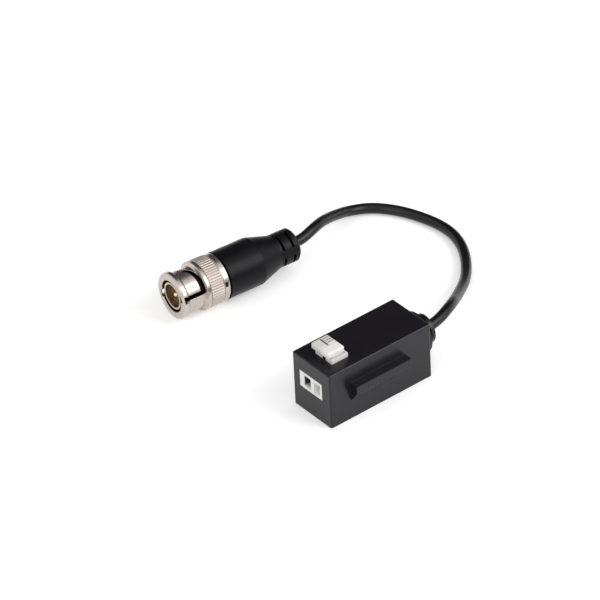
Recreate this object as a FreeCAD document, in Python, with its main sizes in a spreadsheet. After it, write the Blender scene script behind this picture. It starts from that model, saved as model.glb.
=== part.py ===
"""Passive video balun: a small black box with a push terminal, a short coaxial cable and a bayonet plug.

Frame: X to the right seen from the terminal end, Y from the terminal end to the cable end, Z up.
The origin is the centre of the box's underside, so the box, the cable and the plug rest on Z = 0.
All sizes are in millimetres.
"""
import FreeCAD, Part
import math
import os

import Sketcher

Vector = FreeCAD.Vector
Rotation = FreeCAD.Rotation
Placement = FreeCAD.Placement

# Driving dimensions: alias, value, meaning.
SIZES = [
    ("house_wide", 16.3, "box, across the terminal face"),
    ("house_long", 36.4, "box, terminal face to cable face"),
    ("house_high", 18.0, "box, underside to top"),
    ("wall", 1.5, "box wall"),
    ("house_round", 0.5, "round on the box's outer edges"),
    ("fit_gap", 0.1, "clearance between a piece and the opening that it sits in"),
    ("cover_thick", 1.6, "bottom cover plate"),
    ("board_low", 4.0, "underside of the circuit board above the box's underside"),
    ("board_thick", 1.2, "circuit board"),
    ("board_edge", 0.4, "board edge to the box wall"),
    ("post_size", 2.2, "square posts that hold the board down"),
    ("rail_out", 2.9, "side rail, how far it stands out"),
    ("rail_from", 7.2, "side rail, start behind the terminal face"),
    ("rail_long", 19.8, "side rail, length"),
    ("rail_top", 12.3, "side rail, height of its ledge"),
    ("rail_face", 2.5, "side rail, height of its upright face"),
    ("rail_drop", 6.0, "side rail, ledge to the foot of its slope"),
    ("window_mid", -0.45, "terminal window, centre across the box"),
    ("window_wide", 9.9, "terminal window, width"),
    ("window_low", 7.55, "terminal window, sill height"),
    ("window_high", 5.65, "terminal window, height"),
    ("nose_step", 0.1, "terminal face behind the box's face"),
    ("terminal_flange", 0.5, "terminal block wider than its window, each side"),
    ("terminal_deep", 9.4, "terminal block, front to back inside the box"),
    ("pole_mid", 0.15, "middle of the two poles across the box"),
    ("pole_pitch", 4.1, "pole to pole"),
    ("entry_wide", 2.7, "wire entry, width at the face"),
    ("entry_high", 3.5, "wire entry, height at the face"),
    ("entry_throat", 2.1, "wire entry, width and height at its inner end"),
    ("wire_high", 10.35, "height of the wire entry's axis"),
    ("chamber_wide", 2.9, "clamp chamber, width"),
    ("chamber_from", 3.2, "clamp chamber, start behind the box's face"),
    ("chamber_long", 6.4, "clamp chamber, length"),
    ("chamber_top", 14.4, "clamp chamber, ceiling height"),
    ("tower_mid", 0.6, "terminal's tower in the top cut-out, centre across"),
    ("tower_wide", 7.2, "terminal's tower, width"),
    ("tower_from", 4.2, "terminal's tower, front behind the box's face"),
    ("tower_long", 5.7, "terminal's tower, length"),
    ("tower_rise", 0.8, "terminal's tower, above the box top"),
    ("lip_thick", 0.3, "lip along the tower's right and back edges, thickness"),
    ("lip_rise", 0.5, "lip above the tower"),
    ("notch_mid", 0.8, "notch in the tower's front edge, centre across"),
    ("notch_wide", 1.25, "notch in the tower's front edge, width"),
    ("notch_deep", 1.0, "notch in the tower's front edge, front to back"),
    ("stem_wide", 1.8, "button stem, width"),
    ("stem_from", 5.0, "button stem, front behind the box's face"),
    ("stem_long", 3.6, "button stem, front to back"),
    ("press_travel", 1.2, "how far a button goes down"),
    ("foot_extra", 0.45, "button foot wider than the stem, each side"),
    ("foot_high", 0.8, "button foot, height"),
    ("prong_wide", 0.5, "button prong, width"),
    ("prong_long", 0.8, "button prong, front to back"),
    ("prong_from", 6.2, "button prong, front behind the box's face"),
    ("prong_low", 10.0, "button prong, height of its tip"),
    ("head_left", -3.75, "left button head, outer side"),
    ("head_right", 3.8, "right button head, outer side"),
    ("head_split", 0.35, "line between the two button heads"),
    ("head_gap", 0.15, "gap between the two button heads"),
    ("head_from", 3.25, "button heads, front behind the box's face"),
    ("head_long", 5.95, "button heads, front to back"),
    ("head_thick", 1.6, "button heads, thickness"),
    ("head_round", 0.5, "round on the button heads"),
    ("slit_wide", 0.5, "tool slit across the left head, width"),
    ("slit_deep", 0.55, "tool slit, depth"),
    ("slit_at", 2.9, "tool slit, centre behind the head's front"),
    ("ridge_wide", 0.35, "grip groove on the left head's back half, width"),
    ("ridge_deep", 0.2, "grip groove, depth"),
    ("bar_wide", 1.0, "contact bar, width"),
    ("bar_thick", 0.6, "contact bar, thickness"),
    ("bar_above", 0.55, "contact bar's underside above the wire axis"),
    ("pin_below", 0.8, "contact bar's solder pin below the board"),
    ("spring_wide", 2.2, "clamp spring, width"),
    ("spring_thick", 0.3, "clamp spring, thickness"),
    ("spring_bend", 0.6, "clamp spring, inner radius of its bend"),
    ("spring_leg", 5.5, "clamp spring, length of its leg"),
    ("spring_slope", 42.0, "clamp spring, slope of its leg in degrees"),
    ("spring_foot", 4.2, "clamp spring, length of its foot"),
    ("core_r", 3.6, "transformer core, outer radius"),
    ("core_eye_r", 1.7, "transformer core, inner radius"),
    ("core_high", 2.6, "transformer core, height"),
    ("core_at", 1.2, "transformer core, place along the board"),
    ("coil_thick", 0.5, "windings, thickness on the core"),
    ("coil_sweep", 130.0, "windings, angle that each covers in degrees"),
    ("suppressor_wide", 3.4, "surge suppressor, width"),
    ("suppressor_long", 4.4, "surge suppressor, length"),
    ("suppressor_high", 2.2, "surge suppressor, height"),
    ("suppressor_x", 3.4, "surge suppressor, place across the board"),
    ("suppressor_back", 8.60, "surge suppressor, middle before the box's back face"),
    ("chip_long", 2.0, "chip parts, length"),
    ("chip_wide", 1.25, "chip parts, width"),
    ("chip_high", 0.8, "chip parts, height"),
    ("chip_x", -3.9, "chip parts, place across the board"),
    ("chip_back", 10.80, "chip parts, middle of the first one before the box's back face"),
    ("chip_step", 2.1, "chip part to chip part"),
    ("gland_high", 9.7, "height of the cable exit"),
    ("gland_neck_r", 3.0, "strain relief, radius in the wall"),
    ("gland_flange_r", 4.0, "strain relief, flange inside the wall"),
    ("gland_flange", 1.5, "strain relief, thickness of its inner flange"),
    ("gland_base_r", 5.2, "strain relief, radius at the box"),
    ("gland_ring_r", 6.4, "strain relief, first ring"),
    ("gland_tip_r", 4.5, "strain relief, second ring"),
    ("gland_waist_r", 3.6, "strain relief, between its rings"),
    ("gland_ring_at", 0.9, "strain relief, first ring behind the box"),
    ("gland_ring", 1.2, "strain relief, length of a ring"),
    ("gland_waist", 1.6, "strain relief, length between its rings"),
    ("gland_end", 0.5, "strain relief, tip beyond its second ring"),
    ("cable_r", 1.6, "coaxial cable, radius"),
    ("lead_r", 0.4, "conductor to the board, radius"),
    ("lead_apart", 1.6, "the two conductors apart at the strain relief"),
    ("plug_x", -62.45, "plug, centre of its front rim"),
    ("plug_y", -19.19, "plug, centre of its front rim"),
    ("plug_turn", 4.4, "plug axis, degrees from Y towards X"),
    ("nut_clock", 16.5, "coupling nut, slot mouth above the level in degrees"),
    ("rim_r", 7.15, "nut rim, radius"),
    ("rim_long", 1.5, "nut rim, length"),
    ("rim_bevel", 0.4, "bevel on the nut's front and back edges"),
    ("rim_fall", 0.8, "nut rim, length of the fall to the neck"),
    ("neck_r", 6.3, "nut neck, radius"),
    ("neck_long", 5.3, "nut neck, length after the fall"),
    ("flange_r", 7.5, "nut flange, radius"),
    ("flange_long", 1.5, "nut flange, length"),
    ("flange_edge", 0.5, "nut flange, length of its sloping edges"),
    ("knurl_r", 7.4, "nut knurl, radius"),
    ("knurl_long", 4.2, "nut knurl, length"),
    ("knurl_count", 54, "nut knurl, number of grooves"),
    ("knurl_deep", 0.2, "nut knurl, depth of a groove"),
    ("knurl_wide", 0.5, "nut knurl, width of a groove"),
    ("turned_groove", 0.3, "grooves turned beside the knurl, length and depth"),
    ("band_r", 7.3, "nut rear band, radius"),
    ("band_long", 2.0, "nut rear band, length"),
    ("bore_r", 4.95, "nut bore, radius"),
    ("bore_long", 8.4, "nut bore, length from the front"),
    ("cavity_r", 6.05, "nut cavity behind the bore, radius"),
    ("key_r", 5.75, "nut key ways, radius"),
    ("key_wide", 2.2, "nut key ways, width"),
    ("slot_wide", 1.4, "nut cam slots, width"),
    ("slot_back", 7.8, "nut cam slots, furthest from the front"),
    ("slot_mouth", 0.35, "nut cam slots, start from the front"),
    ("mouth_wide", 2.1, "nut cam slots, width of the pocket in the rim"),
    ("mouth_long", 1.2, "nut cam slots, length of the pocket in the rim"),
    ("ramp_sweep", 106.0, "nut cam slots, angle of the ramp in degrees"),
    ("ramp_level", 16.0, "nut cam slots, angle before the ramp starts to rise in degrees"),
    ("ramp_rise", 4.4, "nut cam slots, how far the ramp comes forward"),
    ("stake_at", 14.5, "punched mark on the nut's rear band, distance from the front"),
    ("stake_turn", -3.0, "punched mark, angle from the slot's mouth in degrees"),
    ("stake_long", 0.95, "punched mark, length along the nut"),
    ("stake_wide", 1.6, "punched mark, width round the nut"),
    ("stake_deep", 0.6, "punched mark, depth"),
    ("float_travel", 0.6, "how far the nut moves forward on the plug"),
    ("sleeve_step", 0.35, "contact sleeve behind the nut's front"),
    ("sleeve_r", 4.15, "contact sleeve, radius"),
    ("sleeve_bore", 3.6, "contact sleeve, bore radius"),
    ("collar_r", 5.85, "plug body collar, radius"),
    ("collar_long", 1.8, "plug body collar, length"),
    ("hub_r", 3.9, "plug body hub, radius"),
    ("hub_end", 17.9, "plug body hub, end from the nut's front"),
    ("stem_r", 1.95, "plug body crimp stem, radius"),
    ("stem_bore", 1.0, "plug body crimp stem, bore radius"),
    ("stem_length", 4.6, "plug body crimp stem, length"),
    ("insulator_at", 5.3, "insulator, face behind the nut's front"),
    ("insulator_long", 10.2, "insulator, length"),
    ("pin_r", 0.675, "centre pin, radius"),
    ("pin_step", 1.0, "centre pin, tip behind the nut's front"),
    ("pin_collar_r", 1.2, "centre pin, rear part radius"),
    ("pin_tip", 0.5, "centre pin, length of its rounded tip"),
    ("gasket_long", 1.1, "seal gasket, length"),
    ("gasket_r", 4.75, "seal gasket, outer radius"),
    ("washer_thick", 0.5, "thrust washer, thickness"),
    ("dish_thick", 0.3, "spring washer, thickness"),
    ("dish_high", 1.0, "spring washer, height with its dish"),
    ("ring_thick", 0.7, "retaining ring, thickness"),
    ("ring_bite", 0.35, "retaining ring, depth in the nut's groove"),
    ("ring_wide", 1.3, "retaining ring, width of its section"),
    ("ring_open", 50.0, "retaining ring, open angle in degrees"),
    ("run_gap", 0.05, "running clearance along the plug"),
    ("ferrule_wall", 0.4, "crimp ferrule, wall"),
    ("ferrule_long", 5.2, "crimp ferrule, length"),
    ("boot_at", 16.15, "boot, front from the nut's front"),
    ("boot_r", 7.3, "boot, radius"),
    ("boot_straight", 11.75, "boot, straight length"),
    ("boot_cone", 7.3, "boot, length of its taper"),
    ("tail_r", 5.1, "boot tail, radius"),
    ("tail_long", 6.75, "boot tail, length"),
    ("tail_slot", 0.8, "boot tail, width of its slots"),
    ("tail_slot_deep", 1.2, "boot tail, depth of its slots"),
    ("tail_slot_at", 0.7, "boot tail, start of the first slot"),
    ("tail_slot_step", 3.2, "boot tail, slot to slot"),
    ("tail_slot_sweep", 64.0, "boot tail, angle of a slot in degrees"),
    ("tail_slot_turn", 3.0, "boot tail, where a slot starts round it in degrees"),
    ("tail_round", 0.7, "boot tail, round at its end"),
    ("cable_lead_box", 3.5, "straight cable at the strain relief"),
    ("cable_lead_plug", 3.3, "straight cable at the boot"),
]

# Corners of the cable's route between its two straight leads, chosen by eye along the photographed curve.
CABLE_CORNERS = [
    (-2.4, 34.2, 10.5),
    (-9.9, 43.5, 5.8),
    (-18.7, 54.4, 2.1),
    (-30.0, 63.2, 1.6),
    (-41.1, 66.4, 1.6),
    (-54.6, 63.1, 1.6),
    (-63.7, 57.2, 1.6),
    (-66.5, 50.0, 2.4),
    (-64.8, 43.0, 5.0),
    (-62.2, 36.2, 7.5),
    (-60.0, 31.5, 8.5),
]

doc = FreeCAD.newDocument("video_balun")
sheet = doc.addObject("Spreadsheet::Sheet", "sizes")
nodes = []


def fill_sheet():
    """Write each driving dimension into its own row."""
    for row, (alias, value, meaning) in enumerate(SIZES, 1):
        sheet.set("A%d" % row, meaning)
        sheet.set("B%d" % row, str(value))
        sheet.setAlias("B%d" % row, alias)
    doc.recompute()


def mm(alias):
    """Value of a driving dimension."""
    return float(sheet.get(alias))


def keep(feature, label):
    """Name a finished sub-part and list it as a node."""
    feature.Label = label
    nodes.append(feature)
    return feature


# Sketch and feature helpers


def new_body(name):
    return doc.addObject("PartDesign::Body", name)


def new_sketch(body, name, role, offset="0"):
    """Sketch on one of the body's origin planes, moved along the plane's normal by an expression."""
    plane = [f for f in body.Origin.OriginFeatures if f.Role == role][0]
    sketch = body.newObject("Sketcher::SketchObject", name)
    sketch.AttachmentSupport = [(plane, "")]
    sketch.MapMode = "FlatFace"
    sketch.setExpression("AttachmentOffset.Base.z", offset)
    return sketch


def add_loop(sketch, corners):
    """Closed outline whose corners are placed by pairs of expressions."""
    count = len(corners)
    first = sketch.GeometryCount
    spots = []
    for index in range(count):
        angle = 2 * math.pi * index / count
        spots.append(Vector(10 * math.cos(angle), 10 * math.sin(angle), 0))
    for index in range(count):
        sketch.addGeometry(Part.LineSegment(spots[index], spots[(index + 1) % count]), False)
    for index in range(count):
        after = first + (index + 1) % count
        sketch.addConstraint(Sketcher.Constraint("Coincident", first + index, 2, after, 1))
    for index, corner in enumerate(corners):
        for kind, expression in zip(("DistanceX", "DistanceY"), corner):
            place = spots[index].x if kind == "DistanceX" else spots[index].y
            rule = Sketcher.Constraint(kind, -1, 1, first + index, 1, place)
            number = sketch.addConstraint(rule)
            sketch.setExpression("Constraints[%d]" % number, expression)


def add_rectangle(sketch, low_x, high_x, low_y, high_y):
    add_loop(sketch, [(low_x, low_y), (high_x, low_y), (high_x, high_y), (low_x, high_y)])


def add_circle(sketch, mid_x, mid_y, radius):
    """Circle whose centre and radius are bound to expressions."""
    ring = sketch.addGeometry(Part.Circle(Vector(1, 1, 0), Vector(0, 0, 1), 1), False)
    rules = [
        (Sketcher.Constraint("DistanceX", -1, 1, ring, 3, 1), mid_x),
        (Sketcher.Constraint("DistanceY", -1, 1, ring, 3, 1), mid_y),
        (Sketcher.Constraint("Radius", ring, 1), radius),
    ]
    for rule, expression in rules:
        number = sketch.addConstraint(rule)
        sketch.setExpression("Constraints[%d]" % number, expression)


def add_feature(body, kind, name, sketch, length, reverse=False):
    """Pad or pocket of a sketch; its length is an expression."""
    feature = body.newObject("PartDesign::" + kind, name)
    feature.Profile = sketch
    feature.setExpression("Length", length)
    feature.Reversed = reverse
    doc.recompute()
    check_gain(body, feature, kind == "Pad")
    return feature


def check_gain(body, feature, adds):
    """A pad has to add material and a pocket has to take some away."""
    before = feature.BaseFeature.Shape.Volume if feature.BaseFeature else 0.0
    grown = feature.Shape.Volume - before
    if (grown <= 1e-6) if adds else (grown >= -1e-6):
        raise RuntimeError("%s in %s changes nothing" % (feature.Name, body.Name))


def pad(body, name, role, offset, loops, length, reverse=False):
    """Pad one or more rectangles (low x, high x, low y, high y) or corner lists."""
    sketch = new_sketch(body, name + "_sketch", role, offset)
    for loop in loops:
        if len(loop) == 4 and isinstance(loop[0], str):
            add_rectangle(sketch, *loop)
        else:
            add_loop(sketch, loop)
    return add_feature(body, "Pad", name, sketch, length, reverse)


def pocket(body, name, role, offset, loops, length, reverse=False):
    """Pocket one or more rectangles (low x, high x, low y, high y) or corner lists."""
    sketch = new_sketch(body, name + "_sketch", role, offset)
    for loop in loops:
        if len(loop) == 4 and isinstance(loop[0], str):
            add_rectangle(sketch, *loop)
        else:
            add_loop(sketch, loop)
    return add_feature(body, "Pocket", name, sketch, length, reverse)


def revolve(body, name, corners, kind="Revolution", angle=360.0):
    """Turn an outline (radius, station) about the body's Y axis."""
    sketch = new_sketch(body, name + "_sketch", "XY_Plane")
    add_loop(sketch, corners)
    feature = body.newObject("PartDesign::" + kind, name)
    feature.Profile = sketch
    feature.ReferenceAxis = (sketch, ["V_Axis"])
    feature.Angle = angle
    doc.recompute()
    return feature


def round_edges(body, name, base, radius, wanted):
    """Fillet the edges of a feature that a test picks."""
    picked = []
    for index, edge in enumerate(base.Shape.Edges, 1):
        if wanted(edge):
            picked.append("Edge%d" % index)
    feature = body.newObject("PartDesign::Fillet", name)
    feature.Base = (base, picked)
    feature.setExpression("Radius", radius)
    doc.recompute()
    return feature


def repeat_round(body, name, feature, count, axis="Y_Axis"):
    """Copy a feature evenly round one of the body's axes."""
    line = [f for f in body.Origin.OriginFeatures if f.Role == axis][0]
    pattern = body.newObject("PartDesign::PolarPattern", name)
    pattern.Originals = [feature]
    pattern.Axis = (line, [""])
    pattern.Angle = 360
    pattern.setExpression("Occurrences", count)
    body.Tip = pattern
    doc.recompute()
    return pattern


def make_box(name, place, size):
    """Part box with expressions for its low corner and its size."""
    box = doc.addObject("Part::Box", name)
    for axis, expression in zip("xyz", place):
        box.setExpression("Placement.Base." + axis, expression)
    for prop, expression in zip(("Length", "Width", "Height"), size):
        box.setExpression(prop, expression)
    return box


def set_on_plug(feature, roll=0.0):
    """Put a piece that was drawn along Y onto the plug's axis, rolled about it."""
    turn = Rotation(Vector(0, 0, 1), -mm("plug_turn"))
    place = Vector(mm("plug_x"), mm("plug_y"), mm("flange_r"))
    feature.Placement = Placement(place, turn * Rotation(Vector(0, 1, 0), -roll))


# Places that several pieces share, as expressions

HALF_WIDE = "sizes.house_wide / 2"
HALF_LONG = "sizes.house_long / 2"
IN_WIDE = "(sizes.house_wide / 2 - sizes.wall)"
IN_LONG = "(sizes.house_long / 2 - sizes.wall)"
CEILING = "(sizes.house_high - sizes.wall)"
BOARD_TOP = "(sizes.board_low + sizes.board_thick)"
TOWER_TOP = "(sizes.house_high + sizes.tower_rise)"
HEAD_LOW = "(sizes.house_high + sizes.tower_rise + sizes.press_travel + sizes.fit_gap)"
FOOT_TOP = "(sizes.chamber_top - sizes.fit_gap)"
FOOT_LOW = "(sizes.chamber_top - sizes.fit_gap - sizes.foot_high)"
WINDOW_LEFT = "(sizes.window_mid - sizes.window_wide / 2)"
WINDOW_RIGHT = "(sizes.window_mid + sizes.window_wide / 2)"
TOWER_LEFT = "(sizes.tower_mid - sizes.tower_wide / 2)"
TOWER_RIGHT = "(sizes.tower_mid + sizes.tower_wide / 2)"
BAR_LOW = "(sizes.wire_high + sizes.bar_above)"
BAR_BACK = "(sizes.chamber_from + sizes.chamber_long - sizes.fit_gap)"


def behind(alias_sum):
    """Place along Y of something given by its distance behind the box's face."""
    return "(%s - sizes.house_long / 2)" % alias_sum


def pole(side):
    """Centre of the left (-1) or right (1) pole across the box, as an expression."""
    return "(sizes.pole_mid + (%d) * sizes.pole_pitch / 2)" % side


# The box


def make_housing_shell():
    """Black box, open below, with the terminal's window and cut-out, the cable hole and the side rail."""
    body = new_body("shell_body")
    outside = ("-" + HALF_WIDE, HALF_WIDE, "-" + HALF_LONG, HALF_LONG)
    block = pad(body, "shell_block", "XY_Plane", "0", [outside], "sizes.house_high")
    top = mm("house_high")

    def outer_edge(edge):
        low, high = edge.BoundBox.ZMin, edge.BoundBox.ZMax
        return high > top - 1e-6 and (high - low > top - 1e-6 or low > top - 1e-6)

    round_edges(body, "shell_round", block, "sizes.house_round", outer_edge)
    inside = ("-" + IN_WIDE, IN_WIDE, "-" + IN_LONG, IN_LONG)
    pocket(body, "shell_hollow", "XY_Plane", "0", [inside], CEILING, True)
    window = (WINDOW_LEFT, WINDOW_RIGHT, "sizes.window_low", "sizes.window_low + sizes.window_high")
    pocket(body, "shell_window", "XZ_Plane", "0", [window], HALF_LONG + " + 1", True)
    cutout = (
        TOWER_LEFT + " - sizes.fit_gap",
        TOWER_RIGHT + " + sizes.fit_gap",
        behind("sizes.tower_from - sizes.fit_gap"),
        behind("sizes.tower_from + sizes.tower_long + sizes.fit_gap"),
    )
    pocket(body, "shell_cutout", "XY_Plane", "sizes.house_high", [cutout], "sizes.wall + 1")
    hole = new_sketch(body, "shell_hole_sketch", "XZ_Plane")
    add_circle(hole, "0", "sizes.gland_high", "sizes.gland_neck_r")
    add_feature(body, "Pocket", "shell_hole", hole, HALF_LONG + " + 1")
    posts = []
    for side in ("-", ""):
        for row in ("-sizes.chamber_from", IN_LONG + " - sizes.post_size"):
            inner = "%s(%s - sizes.post_size)" % (side, IN_WIDE)
            outer = "%s(%s + sizes.wall / 2)" % (side, IN_WIDE)
            edges = (outer, inner) if side else (inner, outer)
            posts.append(edges + (row, row + " + sizes.post_size"))
    reach = CEILING + " + sizes.wall / 2 - " + BOARD_TOP
    pad(body, "shell_posts", "XY_Plane", BOARD_TOP, posts, reach)
    rail = [
        (IN_WIDE + " + sizes.wall / 2", "sizes.rail_top"),
        (HALF_WIDE + " + sizes.rail_out", "sizes.rail_top"),
        (HALF_WIDE + " + sizes.rail_out", "sizes.rail_top - sizes.rail_face"),
        (HALF_WIDE, "sizes.rail_top - sizes.rail_drop"),
        (IN_WIDE + " + sizes.wall / 2", "sizes.rail_top - sizes.rail_drop"),
    ]
    start = "sizes.house_long / 2 - sizes.rail_from"
    pad(body, "shell_rail", "XZ_Plane", start, [rail], "sizes.rail_long", True)
    return keep(body, "housing_shell")


def make_bottom_cover():
    """Plate that closes the box from below, with two ribs that carry the board."""
    body = new_body("cover_body")
    edge_x = "(%s - sizes.fit_gap)" % IN_WIDE
    edge_y = "(%s - sizes.fit_gap)" % IN_LONG
    plate = ("-" + edge_x, edge_x, "-" + edge_y, edge_y)
    pad(body, "cover_plate", "XY_Plane", "0", [plate], "sizes.cover_thick")
    ribs = []
    for row in ("-sizes.chamber_from", IN_LONG + " - sizes.post_size"):
        wide = "(%s - sizes.board_edge)" % IN_WIDE
        ribs.append(("-" + wide, wide, row, row + " + sizes.post_size / 2"))
    pad(body, "cover_ribs", "XY_Plane", "sizes.cover_thick", ribs, "sizes.board_low - sizes.cover_thick")
    return keep(body, "bottom_cover")


def make_circuit_board():
    """Board with a hole for each contact bar's solder pin."""
    body = new_body("board_body")
    edge_x = "(%s - sizes.board_edge)" % IN_WIDE
    edge_y = "(%s - sizes.board_edge)" % IN_LONG
    plate = ("-" + edge_x, edge_x, "-" + edge_y, edge_y)
    pad(body, "board_plate", "XY_Plane", "sizes.board_low", [plate], "sizes.board_thick")
    holes = new_sketch(body, "board_holes_sketch", "XY_Plane", BOARD_TOP)
    for side in (-1, 1):
        radius = "sqrt(sizes.bar_wide ^ 2 + sizes.bar_thick ^ 2) / 2 + sizes.run_gap"
        add_circle(holes, pole(side), behind(BAR_BACK + " - sizes.bar_thick / 2"), radius)
    add_feature(body, "Pocket", "board_holes", holes, "sizes.board_thick + 1")
    return keep(body, "circuit_board")


# The push terminal


def make_terminal_body():
    """White two-pole block: a nose in the window, a tower in the top cut-out and a chamber for each clamp."""
    body = new_body("terminal_block")
    block = (
        WINDOW_LEFT + " - sizes.terminal_flange",
        WINDOW_RIGHT + " + sizes.terminal_flange",
        behind("sizes.wall + sizes.run_gap"),
        behind("sizes.wall + sizes.terminal_deep"),
    )
    roof = "(%s - sizes.fit_gap)" % CEILING
    pad(body, "terminal_core", "XY_Plane", BOARD_TOP, [block], "%s - %s" % (roof, BOARD_TOP))
    nose = (
        WINDOW_LEFT + " + sizes.run_gap",
        WINDOW_RIGHT + " - sizes.run_gap",
        "sizes.window_low + sizes.run_gap",
        "sizes.window_low + sizes.window_high - sizes.run_gap",
    )
    face = "sizes.house_long / 2 - sizes.nose_step"
    pad(body, "terminal_nose", "XZ_Plane", face, [nose], "sizes.wall + sizes.fit_gap", True)
    tower_front = behind("sizes.tower_from")
    tower_back = behind("sizes.tower_from + sizes.tower_long")
    tower = (TOWER_LEFT, TOWER_RIGHT, tower_front, tower_back)
    rise = "sizes.wall + sizes.fit_gap + sizes.tower_rise"
    pad(body, "terminal_tower", "XY_Plane", roof, [tower], rise)
    lip = [
        (TOWER_RIGHT, tower_front),
        (TOWER_RIGHT, tower_back),
        (TOWER_LEFT, tower_back),
        (TOWER_LEFT, tower_back + " - sizes.lip_thick"),
        (TOWER_RIGHT + " - sizes.lip_thick", tower_back + " - sizes.lip_thick"),
        (TOWER_RIGHT + " - sizes.lip_thick", tower_front),
    ]
    pad(body, "terminal_lip", "XY_Plane", TOWER_TOP, [lip], "sizes.lip_rise")
    notch = (
        "sizes.notch_mid - sizes.notch_wide / 2",
        "sizes.notch_mid + sizes.notch_wide / 2",
        tower_front + " - 1",
        tower_front + " + sizes.notch_deep",
    )
    pocket(body, "terminal_notch", "XY_Plane", TOWER_TOP, [notch], "sizes.tower_rise + sizes.wall / 2")
    wells = []
    chambers = []
    for side in (-1, 1):
        half = "sizes.stem_wide / 2 + sizes.fit_gap"
        wells.append((
            "%s - (%s)" % (pole(side), half),
            "%s + %s" % (pole(side), half),
            behind("sizes.stem_from - sizes.fit_gap"),
            behind("sizes.stem_from + sizes.stem_long + sizes.fit_gap"),
        ))
        chambers.append((
            pole(side) + " - sizes.chamber_wide / 2",
            pole(side) + " + sizes.chamber_wide / 2",
            behind("sizes.chamber_from"),
            behind("sizes.chamber_from + sizes.chamber_long"),
        ))
    depth = TOWER_TOP + " - sizes.chamber_top + 1"
    pocket(body, "terminal_wells", "XY_Plane", TOWER_TOP, wells, depth)
    height = "sizes.chamber_top - " + BOARD_TOP
    pocket(body, "terminal_chambers", "XY_Plane", BOARD_TOP, chambers, height, True)
    funnels = [make_wire_entry(side) for side in (-1, 1)]
    joined = doc.addObject("Part::MultiFuse", "wire_entries")
    joined.Shapes = funnels
    cut = doc.addObject("Part::Cut", "terminal_with_entries")
    cut.Base = body
    cut.Tool = joined
    return keep(cut, "terminal_body")


def make_wire_entry(side):
    """Funnel from the terminal's face to the clamp chamber."""
    funnel = doc.addObject("Part::Wedge", "wire_entry_%s" % ("left" if side < 0 else "right"))
    bounds = {
        "Xmin": "-sizes.entry_wide / 2",
        "Xmax": "sizes.entry_wide / 2",
        "Zmin": "-sizes.entry_high / 2",
        "Zmax": "sizes.entry_high / 2",
        "X2min": "-sizes.entry_throat / 2",
        "X2max": "sizes.entry_throat / 2",
        "Z2min": "-sizes.entry_throat / 2",
        "Z2max": "sizes.entry_throat / 2",
        "Ymin": "0",
        "Ymax": "sizes.chamber_from - sizes.nose_step + sizes.run_gap",
    }
    for prop, expression in bounds.items():
        funnel.setExpression(prop, expression)
    funnel.setExpression("Placement.Base.x", pole(side))
    funnel.setExpression("Placement.Base.y", behind("sizes.nose_step"))
    funnel.setExpression("Placement.Base.z", "sizes.wire_high")
    return funnel


def make_contact_bar(side, label):
    """Bar over the wire that turns down into a solder pin."""
    body = new_body(label + "_body")
    front = behind("sizes.chamber_from + sizes.fit_gap")
    back = behind(BAR_BACK)
    turn = behind(BAR_BACK + " - sizes.bar_thick")
    low = "sizes.board_low - sizes.pin_below"
    outline = [
        (front, BAR_LOW),
        (turn, BAR_LOW),
        (turn, low),
        (back, low),
        (back, BAR_LOW + " + sizes.bar_thick"),
        (front, BAR_LOW + " + sizes.bar_thick"),
    ]
    pad(body, label + "_strip", "YZ_Plane", "-sizes.bar_wide / 2", [outline], "sizes.bar_wide")
    body.setExpression("Placement.Base.x", pole(side))
    return keep(body, label)


def make_clamp_spring(side, label):
    """Leaf spring: a foot on the board, a bend in front and a leg that presses a wire up to the bar."""
    thick, inner, slope = mm("spring_thick"), mm("spring_bend"), math.radians(mm("spring_slope"))
    outer = inner + thick
    floor = mm("board_low") + mm("board_thick")
    bend_y = mm("chamber_from") + mm("fit_gap") + outer - mm("house_long") / 2
    bend = Vector(0, bend_y, floor + outer)
    along = Vector(0, math.cos(slope), math.sin(slope))
    across = Vector(0, -math.sin(slope), math.cos(slope))
    foot_end = Vector(0, mm("spring_foot"), 0)
    down = Vector(0, 0, -1)
    leg = along * mm("spring_leg")
    points = {
        "foot_low": bend + down * outer + foot_end,
        "bend_low": bend + down * outer,
        "leg_out": bend + across * outer,
        "tip_out": bend + across * outer + leg,
        "tip_in": bend + across * inner + leg,
        "leg_in": bend + across * inner,
        "bend_in": bend + down * inner,
        "foot_top": bend + down * inner + foot_end,
    }
    front = Vector(0, -1, 0)
    edges = [
        Part.LineSegment(points["foot_low"], points["bend_low"]),
        Part.Arc(points["bend_low"], bend + front * outer, points["leg_out"]),
        Part.LineSegment(points["leg_out"], points["tip_out"]),
        Part.LineSegment(points["tip_out"], points["tip_in"]),
        Part.LineSegment(points["tip_in"], points["leg_in"]),
        Part.Arc(points["leg_in"], bend + front * inner, points["bend_in"]),
        Part.LineSegment(points["bend_in"], points["foot_top"]),
        Part.LineSegment(points["foot_top"], points["foot_low"]),
    ]
    outline = Part.Wire([edge.toShape() for edge in edges])
    strip = Part.Face(outline).extrude(Vector(mm("spring_wide"), 0, 0))
    feature = doc.addObject("Part::Feature", label + "_strip")
    feature.Shape = strip
    middle = mm("pole_mid") + side * mm("pole_pitch") / 2
    feature.Placement = Placement(Vector(middle - mm("spring_wide") / 2, 0, 0), Rotation())
    return keep(feature, label)


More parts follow.
